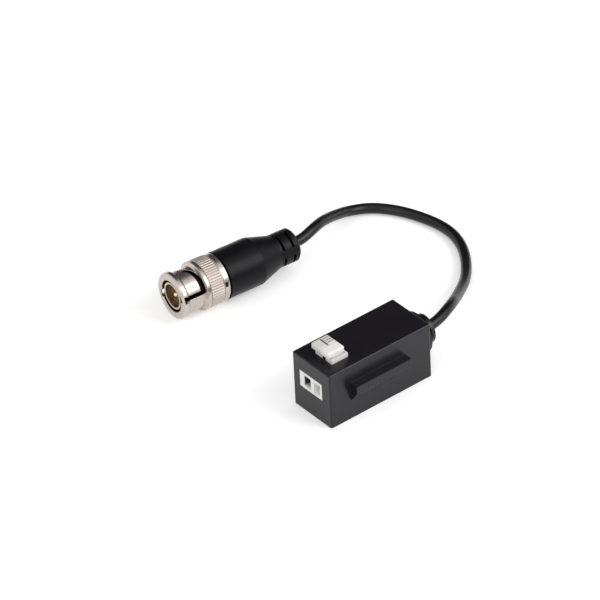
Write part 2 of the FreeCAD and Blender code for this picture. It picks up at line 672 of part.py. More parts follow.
def make_button(side, label):
    """Push button: a foot and two prongs in the clamp chamber, a stem in the well and a broad head."""
    body = new_body(label + "_body")
    front = behind("sizes.stem_from")
    back = behind("sizes.stem_from + sizes.stem_long")
    centre = pole(side)
    foot = (
        centre + " - sizes.stem_wide / 2 - sizes.foot_extra",
        centre + " + sizes.stem_wide / 2 + sizes.foot_extra",
        front,
        back,
    )
    pad(body, label + "_foot", "XY_Plane", FOOT_LOW, [foot], "sizes.foot_high")
    stem = (centre + " - sizes.stem_wide / 2", centre + " + sizes.stem_wide / 2", front, back)
    pad(body, label + "_stem", "XY_Plane", FOOT_TOP, [stem], "%s - %s" % (HEAD_LOW, FOOT_TOP))
    prongs = []
    for edge in (-1, 1):
        near = "(sizes.bar_wide / 2 + sizes.fit_gap)"
        far = "(sizes.bar_wide / 2 + sizes.fit_gap + sizes.prong_wide)"
        pair = (near, far) if edge > 0 else ("-" + far, "-" + near)
        prongs.append((
            centre + " + " + pair[0],
            centre + " + " + pair[1],
            behind("sizes.prong_from"),
            behind("sizes.prong_from + sizes.prong_long"),
        ))
    pad(body, label + "_prongs", "XY_Plane", FOOT_LOW, [prongs[0], prongs[1]],
        FOOT_LOW + " - sizes.prong_low", True)
    if side < 0:
        sides = ("sizes.head_left", "sizes.head_split - sizes.head_gap / 2")
    else:
        sides = ("sizes.head_split + sizes.head_gap / 2", "sizes.head_right")
    head_front = behind("sizes.head_from")
    head_back = behind("sizes.head_from + sizes.head_long")
    head = sides + (head_front, head_back)
    block = pad(body, label + "_head", "XY_Plane", HEAD_LOW, [head], "sizes.head_thick")
    low = mm("house_high") + mm("tower_rise") + mm("press_travel") + mm("fit_gap")
    outer_x = mm("head_left") if side < 0 else mm("head_right")

    def head_edge(edge):
        box = edge.BoundBox
        if box.ZMax < low + mm("head_thick") - 1e-6:
            return False
        upright = box.ZMin < low + 1e-6
        at_outside = abs(box.XMin - outer_x) < 1e-6 and abs(box.XMax - outer_x) < 1e-6
        level = box.ZMin > low + mm("head_thick") - 1e-6
        return (upright and at_outside) or level

    round_edges(body, label + "_round", block, "sizes.head_round", head_edge)
    top = HEAD_LOW + " + sizes.head_thick"
    if side < 0:
        slit_y = "%s + sizes.slit_at" % head_front
        slit = (
            sides[0] + " + sizes.head_round",
            sides[1] + " - sizes.head_round / 2",
            slit_y + " - sizes.slit_wide / 2",
            slit_y + " + sizes.slit_wide / 2",
        )
        pocket(body, label + "_slit", "XY_Plane", top, [slit], "sizes.slit_deep")
        grooves = []
        for share in (1, 2, 3):
            line = "(sizes.head_left + %d * (sizes.head_split - sizes.head_left) / 4)" % share
            grooves.append((
                line + " - sizes.ridge_wide / 2",
                line + " + sizes.ridge_wide / 2",
                slit_y + " + sizes.slit_wide",
                head_back + " - sizes.head_round",
            ))
        pocket(body, label + "_grip", "XY_Plane", top, grooves, "sizes.ridge_deep")
    return keep(body, label)


# On the board


def upright_face(low_x, high_x, low_z, high_z):
    """Rectangular face in the plane Y = 0."""
    corners = [(low_x, 0, low_z), (high_x, 0, low_z), (high_x, 0, high_z), (low_x, 0, high_z)]
    corners.append(corners[0])
    return Part.Face(Part.makePolygon([Vector(*corner) for corner in corners]))


def make_transformer():
    """Ring core with two windings that lift it off the board."""
    inner, outer, high = mm("core_eye_r"), mm("core_r"), mm("core_high")
    base = mm("board_low") + mm("board_thick")
    coil = mm("coil_thick")
    section = upright_face(inner, outer, coil, coil + high)
    ring = section.revolve(Vector(0, 0, 0), Vector(0, 0, 1), 360)
    core = doc.addObject("Part::Feature", "core_ring")
    core.Shape = Part.makeSolid(ring) if ring.ShapeType == "Shell" else ring
    core.Placement = Placement(Vector(0, mm("core_at"), base), Rotation())
    keep(core, "transformer_core")
    sweep = mm("coil_sweep")
    for label, start in (("winding_line", 90.0), ("winding_coax", 270.0)):
        outside = upright_face(inner - coil, outer + coil, 0, high + 2 * coil)
        frame = outside.cut(section)
        turns = frame.revolve(Vector(0, 0, 0), Vector(0, 0, 1), sweep)
        winding = doc.addObject("Part::Feature", label + "_turns")
        winding.Shape = turns.Solids[0]
        spin = Rotation(Vector(0, 0, 1), start - sweep / 2)
        winding.Placement = Placement(Vector(0, mm("core_at"), base), spin)
        keep(winding, label)


def make_board_parts():
    """Surge suppressor and a row of chip parts."""
    block = make_box(
        "suppressor_block",
        (
            "sizes.suppressor_x - sizes.suppressor_wide / 2",
            HALF_LONG + " - sizes.suppressor_back - sizes.suppressor_long / 2",
            BOARD_TOP,
        ),
        ("sizes.suppressor_wide", "sizes.suppressor_long", "sizes.suppressor_high"),
    )
    doc.recompute()
    bevel = doc.addObject("Part::Chamfer", "suppressor_bevel")
    bevel.Base = block
    size = mm("suppressor_high") / 8
    top = mm("board_low") + mm("board_thick") + mm("suppressor_high")
    picked = []
    for index, edge in enumerate(block.Shape.Edges, 1):
        if edge.BoundBox.ZMin > top - 1e-6:
            picked.append((index, size, size))
    bevel.Edges = picked
    keep(bevel, "surge_suppressor")
    chips = []
    for index in range(3):
        chips.append(make_box(
            "chip_%d" % (index + 1),
            (
                "sizes.chip_x - sizes.chip_long / 2",
                HALF_LONG + " - sizes.chip_back + %d * sizes.chip_step - sizes.chip_wide / 2" % index,
                BOARD_TOP,
            ),
            ("sizes.chip_long", "sizes.chip_wide", "sizes.chip_high"),
        ))
    group = doc.addObject("Part::Compound", "chip_group")
    group.Links = chips
    keep(group, "chip_parts")


# Cable and its ends


def tube_along(corners, radius, label):
    """Round tube along straight runs joined by arcs as large as the runs allow."""
    points = [Vector(*corner) for corner in corners]
    edges = []
    radii = []
    start = points[0]
    for before, corner, after in zip(points, points[1:], points[2:]):
        into = corner - before
        out = after - corner
        half_turn = into.getAngle(out) / 2
        reach = 0.45 * min(into.Length, out.Length)
        radii.append(reach / math.tan(half_turn))
        into.normalize()
        out.normalize()
        first = corner - into * reach
        last = corner + out * reach
        toward = out - into
        toward.normalize()
        centre = corner + toward * (radii[-1] / math.cos(half_turn))
        middle = centre - toward * radii[-1]
        edges.append(Part.LineSegment(start, first).toShape())
        edges.append(Part.Arc(first, middle, last).toShape())
        start = last
    edges.append(Part.LineSegment(start, points[-1]).toShape())
    path = Part.Wire(edges)
    heading = points[1] - points[0]
    ring = Part.Wire([Part.makeCircle(radius, points[0], heading)])
    tube = path.makePipeShell([ring], True, False)
    solid = tube if tube.ShapeType == "Solid" else Part.Solid(tube)
    share = solid.Volume / (math.pi * radius ** 2 * path.Length)
    print("%s: length %.1f mm, smallest radius %.1f mm, radii %s, volume over section times length %.4f"
          % (label, path.Length, min(radii), [round(r, 1) for r in radii], share))
    if abs(share - 1) > 0.01:
        raise RuntimeError(label + " isn't a clean tube")
    return solid


def make_strain_relief():
    """Stepped moulding in the back wall that the cable leaves through, with two rings outside."""
    body = new_body("relief_body")
    ring_end = "(sizes.gland_ring_at + sizes.gland_ring)"
    tip_at = "(sizes.gland_ring_at + sizes.gland_ring + sizes.gland_waist)"
    tip_end = "(sizes.gland_ring_at + 2 * sizes.gland_ring + sizes.gland_waist)"
    revolve(body, "relief_turned", [
        ("0", "-sizes.wall - sizes.gland_flange"),
        ("sizes.gland_flange_r", "-sizes.wall - sizes.gland_flange"),
        ("sizes.gland_flange_r", "-sizes.wall"),
        ("sizes.gland_neck_r", "-sizes.wall"),
        ("sizes.gland_neck_r", "0"),
        ("sizes.gland_base_r", "0"),
        ("sizes.gland_ring_r", "sizes.gland_ring_at"),
        ("sizes.gland_ring_r", ring_end),
        ("sizes.gland_waist_r", ring_end),
        ("sizes.gland_waist_r", tip_at),
        ("sizes.gland_tip_r", tip_at),
        ("sizes.gland_tip_r", tip_end),
        ("sizes.cable_r + sizes.gland_end", tip_end + " + sizes.gland_end"),
        ("0", tip_end + " + sizes.gland_end"),
    ])
    body.setExpression("Placement.Base.y", HALF_LONG)
    body.setExpression("Placement.Base.z", "sizes.gland_high")
    return keep(body, "strain_relief")


def relief_end():
    """Place along Y where the cable leaves the strain relief."""
    rings = mm("gland_ring_at") + 2 * mm("gland_ring") + mm("gland_waist")
    return mm("house_long") / 2 + rings + mm("gland_end")


def boot_end():
    """Centre of the boot's end face and the direction that the cable leaves it in."""
    turn = math.radians(mm("plug_turn"))
    axis = Vector(math.sin(turn), math.cos(turn), 0)
    length = mm("boot_at") + mm("boot_straight") + mm("boot_cone") + mm("tail_long")
    front = Vector(mm("plug_x"), mm("plug_y"), mm("flange_r"))
    return front + axis * length, axis


def make_coax_cable():
    """Cable from the strain relief, down to the surface, round and up into the boot."""
    start = Vector(0, relief_end(), mm("gland_high"))
    finish, axis = boot_end()
    corners = [start, start + Vector(0, mm("cable_lead_box"), 0)]
    corners += [Vector(*corner) for corner in CABLE_CORNERS]
    corners += [finish + axis * mm("cable_lead_plug"), finish]
    feature = doc.addObject("Part::Feature", "cable_tube")
    feature.Shape = tube_along(corners, mm("cable_r"), "coax_cable")
    feature.Placement = Placement()
    return keep(feature, "coax_cable")


def make_leads():
    """The cable's two conductors, from the strain relief's inner face down to the board."""
    inner_face = mm("house_long") / 2 - mm("wall") - mm("gland_flange")
    top = mm("board_low") + mm("board_thick")
    radius = mm("lead_r")
    for label, side in (("core_wire", -1), ("shield_pigtail", 1)):
        start_x = side * mm("lead_apart") / 2
        down_y = inner_face - 5 * radius
        corners = [
            (start_x, inner_face, mm("gland_high")),
            (start_x, down_y, mm("gland_high")),
            (start_x, down_y, top),
        ]
        feature = doc.addObject("Part::Feature", label + "_tube")
        feature.Shape = tube_along(corners, radius, label)
        feature.Placement = Placement()
        keep(feature, label)


# The plug. Stations run from the nut's front rim towards the cable.

FALL_END = "(sizes.rim_long + sizes.rim_fall)"
NECK_END = "(sizes.rim_long + sizes.rim_fall + sizes.neck_long)"
FLANGE_END = "(%s + sizes.flange_long)" % NECK_END
KNURL_AT = "(%s + sizes.turned_groove)" % FLANGE_END
KNURL_END = "(%s + sizes.knurl_long)" % KNURL_AT
BAND_AT = "(%s + sizes.turned_groove)" % KNURL_END
NUT_END = "(%s + sizes.band_long)" % BAND_AT
COLLAR_AT = "(sizes.bore_long + sizes.run_gap)"
COLLAR_END = "(%s + sizes.collar_long)" % COLLAR_AT
DISH_END = "(%s + sizes.dish_high)" % COLLAR_END
WASHER_AT = "(%s + sizes.run_gap)" % DISH_END
WASHER_END = "(%s + sizes.washer_thick)" % WASHER_AT
RING_AT = "(%s + sizes.run_gap)" % WASHER_END
RING_END = "(%s + sizes.ring_thick)" % RING_AT


def make_coupling_nut():
    """Bayonet nut: rim, slotted neck, flange, knurl and band outside; bore, cavity and ring groove inside."""
    body = new_body("nut_blank")
    revolve(body, "nut_turned", [
        ("sizes.bore_r", "0"),
        ("sizes.rim_r - sizes.rim_bevel", "0"),
        ("sizes.rim_r", "sizes.rim_bevel"),
        ("sizes.rim_r", "sizes.rim_long"),
        ("sizes.neck_r", FALL_END),
        ("sizes.neck_r", NECK_END),
        ("sizes.flange_r", NECK_END + " + sizes.flange_edge"),
        ("sizes.flange_r", FLANGE_END),
        ("sizes.knurl_r - sizes.turned_groove", FLANGE_END),
        ("sizes.knurl_r - sizes.turned_groove", KNURL_AT),
        ("sizes.knurl_r", KNURL_AT),
        ("sizes.knurl_r", KNURL_END),
        ("sizes.knurl_r - sizes.turned_groove", KNURL_END),
        ("sizes.knurl_r - sizes.turned_groove", BAND_AT),
        ("sizes.band_r", BAND_AT),
        ("sizes.band_r", NUT_END + " - sizes.rim_bevel"),
        ("sizes.band_r - sizes.rim_bevel", NUT_END),
        ("sizes.cavity_r", NUT_END),
        ("sizes.cavity_r", RING_END),
        ("sizes.cavity_r + sizes.ring_bite", RING_END),
        ("sizes.cavity_r + sizes.ring_bite", RING_AT),
        ("sizes.cavity_r", RING_AT),
        ("sizes.cavity_r", "sizes.bore_long"),
        ("sizes.bore_r", "sizes.bore_long"),
    ])
    groove = pocket(
        body, "knurl_groove", "XZ_Plane", "-(%s - sizes.turned_groove / 2)" % KNURL_AT,
        [[
            ("-sizes.knurl_wide / 2", "sizes.knurl_r"),
            ("0", "sizes.knurl_r - sizes.knurl_deep"),
            ("sizes.knurl_wide / 2", "sizes.knurl_r"),
            ("sizes.knurl_wide / 2", "sizes.knurl_r + 0.3"),
            ("-sizes.knurl_wide / 2", "sizes.knurl_r + 0.3"),
        ]],
        "sizes.knurl_long + sizes.turned_groove",
    )
    repeat_round(body, "knurl", groove, "sizes.knurl_count")
    key = pocket(
        body, "key_way", "XZ_Plane", "0",
        [key_corners()],
        "sizes.slot_back - sizes.slot_wide / 2 - sizes.ramp_rise",
    )
    repeat_round(body, "key_ways", key, "2")
    cutters = []
    for start in (0.0, 180.0):
        cutters += [cam_ramp(start), cam_arm(start), cam_mouth(start)]
    cutters.append(stake_mark())
    tool = doc.addObject("Part::Feature", "cam_slots")
    tool.Shape = cutters[0].fuse(cutters[1:])
    tool.Placement = Placement()
    cut = doc.addObject("Part::Cut", "slotted_nut")
    cut.Base = body
    cut.Tool = tool
    set_on_plug(cut, mm("nut_clock"))
    return keep(cut, "coupling_nut")


def key_corners():
    """Outline of one key way, across the axis, at the angle where the ramp ends."""
    angle = mm("ramp_sweep")
    sine = "sin(%.4f)" % math.radians(angle)
    cosine = "cos(%.4f)" % math.radians(angle)
    corners = []
    for radius, side in (
        ("(sizes.bore_r - 1)", -1),
        ("sizes.key_r", -1),
        ("sizes.key_r", 1),
        ("(sizes.bore_r - 1)", 1),
    ):
        half = "(%d) * sizes.key_wide / 2" % side
        corners.append((
            "%s * %s - %s * %s" % (radius, cosine, half, sine),
            "%s * %s + %s * %s" % (radius, sine, half, cosine),
        ))
    return corners


def on_drum(radius, degrees, station):
    """Point at an angle about Y, measured from X towards Z."""
    angle = math.radians(degrees)
    return Vector(radius * math.cos(angle), station, radius * math.sin(angle))


def cam_ramp(start):
    """Curved slot that rises forward round the neck, cut between two radii."""
    inner, outer = mm("bore_r") - 0.5, mm("rim_r") + 0.5
    half = mm("slot_wide") / 2
    back = mm("slot_back") - half
    sweep = mm("ramp_sweep")
    rows = []
    for radius, shift in ((inner, -half), (outer, -half), (outer, half), (inner, half)):
        line = []
        for index in range(17):
            angle = sweep * index / 16.0
            climb = max(0.0, (angle - mm("ramp_level")) / (sweep - mm("ramp_level")))
            station = back - mm("ramp_rise") * climb ** 3 + shift
            line.append(on_drum(radius, start + angle, station))
        curve = Part.BSplineCurve()
        curve.interpolate(line)
        rows.append(curve.toShape())
    faces = [Part.makeRuledSurface(rows[i], rows[(i + 1) % 4]) for i in range(4)]
    for end in (0, -1):
        ring = [row.valueAt(row.FirstParameter if end == 0 else row.LastParameter) for row in rows]
        faces.append(Part.Face(Part.makePolygon(ring + [ring[0]])))
    solid = Part.makeSolid(Part.makeShell(faces))
    if solid.Volume < 0:
        solid.reverse()
    return solid


def cam_arm(start):
    """Straight slot from the rim back to the ramp, with a round end."""
    width = mm("slot_wide")
    inner, outer = mm("bore_r") - 0.5, mm("rim_r") + 0.5
    back = mm("slot_back") - width / 2
    mouth = mm("slot_mouth")
    slab = Part.makeBox(outer - inner, back - mouth, width, Vector(inner, mouth, -width / 2))
    end = Part.makeCylinder(width / 2, outer - inner, Vector(inner, back, 0), Vector(1, 0, 0))
    arm = slab.fuse(end)
    arm.rotate(Vector(0, 0, 0), Vector(0, 1, 0), -start)
    return arm


def cam_mouth(start):
    """Wider pocket where the straight slot leaves the rim."""
    wide, length = mm("mouth_wide"), mm("mouth_long")
    inner, outer = mm("bore_r") - 0.5, mm("rim_r") + 0.5
    mouth = mm("slot_mouth")
    slab = Part.makeBox(outer - inner, length, wide, Vector(inner, mouth, -wide / 2))
    slab.rotate(Vector(0, 0, 0), Vector(0, 1, 0), -start)
    return slab


def stake_mark():
    """Small punched mark in the rear band."""
    length, wide = mm("stake_long"), mm("stake_wide")
    band_mid = mm("stake_at")
    low = mm("band_r") - mm("stake_deep")
    mark = Part.makeBox(2, length, wide, Vector(low, band_mid - length / 2, -wide / 2))
    mark.rotate(Vector(0, 0, 0), Vector(0, 1, 0), -mm("stake_turn"))
    return mark


def make_plug_body():
    """Plug body: contact sleeve, collar behind the nut's bore, hub in the boot and crimp stem."""
    body = new_body("plug_body_turned")
    inner_end = "(sizes.insulator_at + sizes.insulator_long)"
    stem_end = "(sizes.hub_end + sizes.stem_length)"
    revolve(body, "plug_turned", [
        ("sizes.sleeve_bore", "sizes.sleeve_step"),
        ("sizes.sleeve_r", "sizes.sleeve_step"),
        ("sizes.sleeve_r", COLLAR_AT),
        ("sizes.collar_r", COLLAR_AT),
        ("sizes.collar_r", COLLAR_END),
        ("sizes.hub_r", COLLAR_END),
        ("sizes.hub_r", "sizes.hub_end"),
        ("sizes.stem_r", "sizes.hub_end"),
        ("sizes.stem_r", stem_end),
        ("sizes.stem_bore", stem_end),
        ("sizes.stem_bore", inner_end),
        ("sizes.sleeve_bore", inner_end),
    ])
    set_on_plug(body)
    return keep(body, "plug_body")


def make_insulator():
    """Dielectric in the plug body with a stepped bore for the centre pin."""
    body = new_body("insulator_turned")
    end = "(sizes.insulator_at + sizes.insulator_long)"
    step = "(sizes.insulator_at + sizes.insulator_long / 2)"
    revolve(body, "insulator_profile", [
        ("sizes.pin_r", "sizes.insulator_at"),
        ("sizes.sleeve_bore", "sizes.insulator_at"),
        ("sizes.sleeve_bore", end),
        ("sizes.pin_collar_r", end),
        ("sizes.pin_collar_r", step),
        ("sizes.pin_r", step),
    ])
    set_on_plug(body)
    return keep(body, "insulator")


def make_centre_pin():
    """Gold pin with a rounded tip and a thicker rear part in the insulator."""
    body = new_body("pin_turned")
    end = "(sizes.insulator_at + sizes.insulator_long)"
    step = "(sizes.insulator_at + sizes.insulator_long / 2)"
    revolve(body, "pin_profile", [
        ("0", "sizes.pin_step"),
        ("sizes.pin_r / 2", "sizes.pin_step"),
        ("sizes.pin_r", "sizes.pin_step + sizes.pin_tip"),
        ("sizes.pin_r", step),
        ("sizes.pin_collar_r", step),
        ("sizes.pin_collar_r", end),
        ("0", end),
    ])
    set_on_plug(body)
    return keep(body, "centre_pin")


def make_plug_rings():
    """Gasket, spring washer, thrust washer, retaining ring and crimp ferrule."""
    gasket = new_body("gasket_turned")
    revolve(gasket, "gasket_profile", [
        ("sizes.sleeve_r", COLLAR_AT + " - sizes.gasket_long"),
        ("sizes.gasket_r", COLLAR_AT + " - sizes.gasket_long"),
        ("sizes.gasket_r", COLLAR_AT),
        ("sizes.sleeve_r", COLLAR_AT),
    ])
    set_on_plug(gasket)
    keep(gasket, "seal_gasket")
    hole = "(sizes.hub_r + sizes.run_gap)"
    edge = "(sizes.cavity_r - 2 * sizes.run_gap)"
    dish = new_body("dish_turned")
    revolve(dish, "dish_profile", [
        (hole, COLLAR_END),
        (edge, DISH_END + " - sizes.dish_thick"),
        (edge, DISH_END),
        (hole, COLLAR_END + " + sizes.dish_thick"),
    ])
    set_on_plug(dish)
    keep(dish, "spring_washer")
    washer = new_body("washer_turned")
    revolve(washer, "washer_profile", [
        (hole, WASHER_AT),
        (edge, WASHER_AT),
        (edge, WASHER_END),
        (hole, WASHER_END),
    ])
    set_on_plug(washer)
    keep(washer, "thrust_washer")
    ring = new_body("ring_turned")
    reach = "(sizes.cavity_r + sizes.ring_bite)"
    revolve(ring, "ring_profile", [
        (reach + " - sizes.ring_wide", RING_AT),
        (reach, RING_AT),
        (reach, RING_END),
        (reach + " - sizes.ring_wide", RING_END),
    ], angle=360.0 - mm("ring_open"))
    set_on_plug(ring)
    keep(ring, "retaining_ring")
    ferrule = new_body("ferrule_turned")
    revolve(ferrule, "ferrule_profile", [
        ("sizes.stem_r", "sizes.hub_end"),
        ("sizes.stem_r + sizes.ferrule_wall", "sizes.hub_end"),
        ("sizes.stem_r + sizes.ferrule_wall", "sizes.hub_end + sizes.ferrule_long"),
        ("sizes.stem_r", "sizes.hub_end + sizes.ferrule_long"),
    ])
    set_on_plug(ferrule)
    keep(ferrule, "crimp_ferrule")


def make_plug_boot():
    """Moulded boot: straight grip, taper and a tail with two rows of slots; hollow over hub and ferrule."""
    body = new_body("boot_body")
    cone_at = "(sizes.boot_at + sizes.boot_straight)"
    tail_at = "(sizes.boot_at + sizes.boot_straight + sizes.boot_cone)"
    end = "(sizes.boot_at + sizes.boot_straight + sizes.boot_cone + sizes.tail_long)"
    ferrule_r = "(sizes.stem_r + sizes.ferrule_wall)"
    ferrule_end = "(sizes.hub_end + sizes.ferrule_long)"
    revolve(body, "boot_turned", [
        ("sizes.hub_r", "sizes.boot_at"),
        ("sizes.boot_r", "sizes.boot_at"),
        ("sizes.boot_r", cone_at),
        ("sizes.tail_r", tail_at),
        ("sizes.tail_r", end + " - sizes.tail_round"),
        ("sizes.tail_r - sizes.tail_round", end),
        ("0", end),
        ("0", ferrule_end),
        (ferrule_r, ferrule_end),
        (ferrule_r, "sizes.hub_end"),
        ("sizes.hub_r", "sizes.hub_end"),
    ])
    for row in range(2):
        slot_at = "(%s + sizes.tail_slot_at + %d * sizes.tail_slot_step)" % (tail_at, row)
        slot = revolve(body, "tail_slot_%d" % (row + 1), [
            ("sizes.tail_r - sizes.tail_slot_deep", slot_at),
            ("sizes.tail_r + 1", slot_at),
            ("sizes.tail_r + 1", slot_at + " + sizes.tail_slot"),
            ("sizes.tail_r - sizes.tail_slot_deep", slot_at + " + sizes.tail_slot"),
        ], kind="Groove", angle=mm("tail_slot_sweep"))
        check_gain(body, slot, False)
        repeat_round(body, "tail_slots_%d" % (row + 1), slot, "4")
    set_on_plug(body, mm("tail_slot_turn"))
    return keep(body, "plug_boot")


def write_parts():
    """Check every object and write each node's solids."""
    doc.recompute()
    for item in doc.Objects:
        if "Invalid" in item.State or "Error" in item.State:
            raise RuntimeError("%s failed: %s" % (item.Label, item.State))
    os.makedirs("parts", exist_ok=True)
    for node in nodes:
        shape = node.Shape
        if shape.isNull() or not shape.isValid() or not shape.Solids:
            raise RuntimeError(node.Label + " has no valid shape")
        shape.exportStep(os.path.join("parts", node.Label + ".step"))
        box = shape.optimalBoundingBox(False, False)
        print("%-20s solids %d volume %8.2f  x %.2f..%.2f y %.2f..%.2f z %.2f..%.2f" % (
            node.Label, len(shape.Solids), shape.Volume,
            box.XMin, box.XMax, box.YMin, box.YMax, box.ZMin, box.ZMax))


def main():
    fill_sheet()
    make_housing_shell()
    make_bottom_cover()
    make_circuit_board()
    make_terminal_body()
    for side, name in ((-1, "left"), (1, "right")):
        make_contact_bar(side, "contact_bar_" + name)
        make_clamp_spring(side, "clamp_spring_" + name)
        make_button(side, "button_" + name)
    make_transformer()
    make_board_parts()
    make_strain_relief()
    make_coax_cable()
    make_leads()
    make_coupling_nut()
    make_plug_body()
    make_insulator()
    make_centre_pin()
    make_plug_rings()
    make_plug_boot()
    write_parts()


main()
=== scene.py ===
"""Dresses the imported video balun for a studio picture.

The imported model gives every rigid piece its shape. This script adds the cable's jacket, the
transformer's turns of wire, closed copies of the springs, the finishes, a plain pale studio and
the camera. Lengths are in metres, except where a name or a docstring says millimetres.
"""

import logging
import math
from dataclasses import dataclass, field
from enum import Enum
from typing import Any

import bmesh
import bpy
from mathutils import Matrix, Vector

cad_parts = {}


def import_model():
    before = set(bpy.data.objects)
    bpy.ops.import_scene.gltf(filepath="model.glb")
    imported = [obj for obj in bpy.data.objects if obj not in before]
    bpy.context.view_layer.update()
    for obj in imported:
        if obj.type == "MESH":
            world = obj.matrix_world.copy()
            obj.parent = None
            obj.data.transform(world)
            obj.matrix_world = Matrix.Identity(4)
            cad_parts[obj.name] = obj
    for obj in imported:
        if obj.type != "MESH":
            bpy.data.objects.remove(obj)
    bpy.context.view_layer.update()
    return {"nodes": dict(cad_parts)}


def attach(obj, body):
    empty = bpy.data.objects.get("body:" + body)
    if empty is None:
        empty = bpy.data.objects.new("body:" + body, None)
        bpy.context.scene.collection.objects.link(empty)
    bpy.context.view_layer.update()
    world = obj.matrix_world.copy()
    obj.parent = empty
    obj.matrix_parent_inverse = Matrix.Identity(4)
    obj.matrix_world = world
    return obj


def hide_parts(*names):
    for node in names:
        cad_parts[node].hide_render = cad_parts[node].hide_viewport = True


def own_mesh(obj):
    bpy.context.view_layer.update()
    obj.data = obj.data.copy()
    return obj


log = logging.getLogger("video_balun")

Triple = tuple[float, float, float]
Socket = bpy.types.NodeSocket
Tree = bpy.types.NodeTree

MM = 0.001
# Middle of the coupling nut's front in millimetres, and the turn of the plug's axis about the
# vertical in degrees, both as packed.
PLUG_FRONT: Triple = (-62.45, -19.19, 7.5)
PLUG_TURN = -4.4

# The Mix node's sockets go by number, because those for numbers and for colours share names.
MIX_SHARE = 0
MIX_NUMBERS = (2, 3)
MIX_NUMBER_OUT = 0
MIX_COLOURS = (6, 7)
MIX_COLOUR_OUT = 2


# Small helpers


def linear_colour(code: str) -> tuple[float, float, float, float]:
    """Turn an sRGB hex code into a linear colour with full alpha.

    Args:
        code: Six hex digits with a leading hash.

    Returns:
        Red, green, blue and alpha for a shader socket.
    """
    channels = [int(code[index:index + 2], 16) / 255 for index in (1, 3, 5)]
    linear = [c / 12.92 if c <= 0.04045 else ((c + 0.055) / 1.055) ** 2.4 for c in channels]
    return (linear[0], linear[1], linear[2], 1.0)


def add_node(
    tree: Tree, kind: str, inputs: dict[str | int, Any] | None = None, **settings: Any
) -> bpy.types.Node:
    """Add a node with its settings, input values and links.

    Args:
        tree: Node tree that takes the node.
        kind: Blender's name of the node type.
        inputs: Values, or sockets to link from, by input name or number.
        **settings: Properties of the node.

    Returns:
        The new node.
    """
    node = tree.nodes.new(kind)
    for name, value in settings.items():
        setattr(node, name, value)
    for name, value in (inputs or {}).items():
        if isinstance(value, Socket):
            tree.links.new(value, node.inputs[name])
        else:
            node.inputs[name].default_value = value
    return node


def blank_material(name: str) -> bpy.types.Material:
    """Make a material whose node tree is empty.

    Args:
        name: Name of the material.

    Returns:
        The new material.
    """
    material = bpy.data.materials.new(name)
    material.use_nodes = True
    material.node_tree.nodes.clear()
    return material


def dress(piece: bpy.types.Object, finish: bpy.types.Material) -> None:
    """Give a piece one material in all its slots.

    Args:
        piece: Object to dress.
        finish: Material for the whole piece.
    """
    if not piece.data.materials:
        piece.data.materials.append(finish)
    for index in range(len(piece.data.materials)):
        piece.data.materials[index] = finish


def link(piece: bpy.types.Object) -> bpy.types.Object:
    """Put a new object in the scene and return it."""
    bpy.context.scene.collection.objects.link(piece)
    return piece


# Finishes


class Pattern(Enum):
    """How a surface was made, which sets the shape of its fine relief."""

    SPARK_ERODED = "grain of a spark-eroded mould"
    POLISHED_MOULD = "faint waviness of a polished mould"
    TURNED = "rings left by a lathe tool"
    ROLLED = "lines along a rolled strip"
    SINTERED = "pits of pressed powder"


# Levels of finer noise in each relief that is made of noise.
NOISE_DETAIL = {
    Pattern.SPARK_ERODED: 3.0,
    Pattern.POLISHED_MOULD: 1.0,
    Pattern.TURNED: 4.0,
    Pattern.ROLLED: 4.0,
}
# How many times longer than wide the marks of a lathe tool or a mill's rolls are.
LINE_STRETCH = 50.0
# Soft patches of colour and gloss, some 4 mm across, as handling and moulding leave them, and
# the part of that noise's range that the gloss follows.
PATCHES = {"Scale": 260.0, "Detail": 3.0, "Roughness": 0.6}
PATCH_LOW, PATCH_HIGH = 0.3, 0.7
# Light that gets under the skin of a pale plastic: its share, and how far red, green and blue go.
UNDER_SKIN = 0.25
UNDER_SKIN_REACH: Triple = (1.0, 0.9, 0.75)
COAT_ROUGHNESS = 0.12
EDGE_SAMPLES = 6


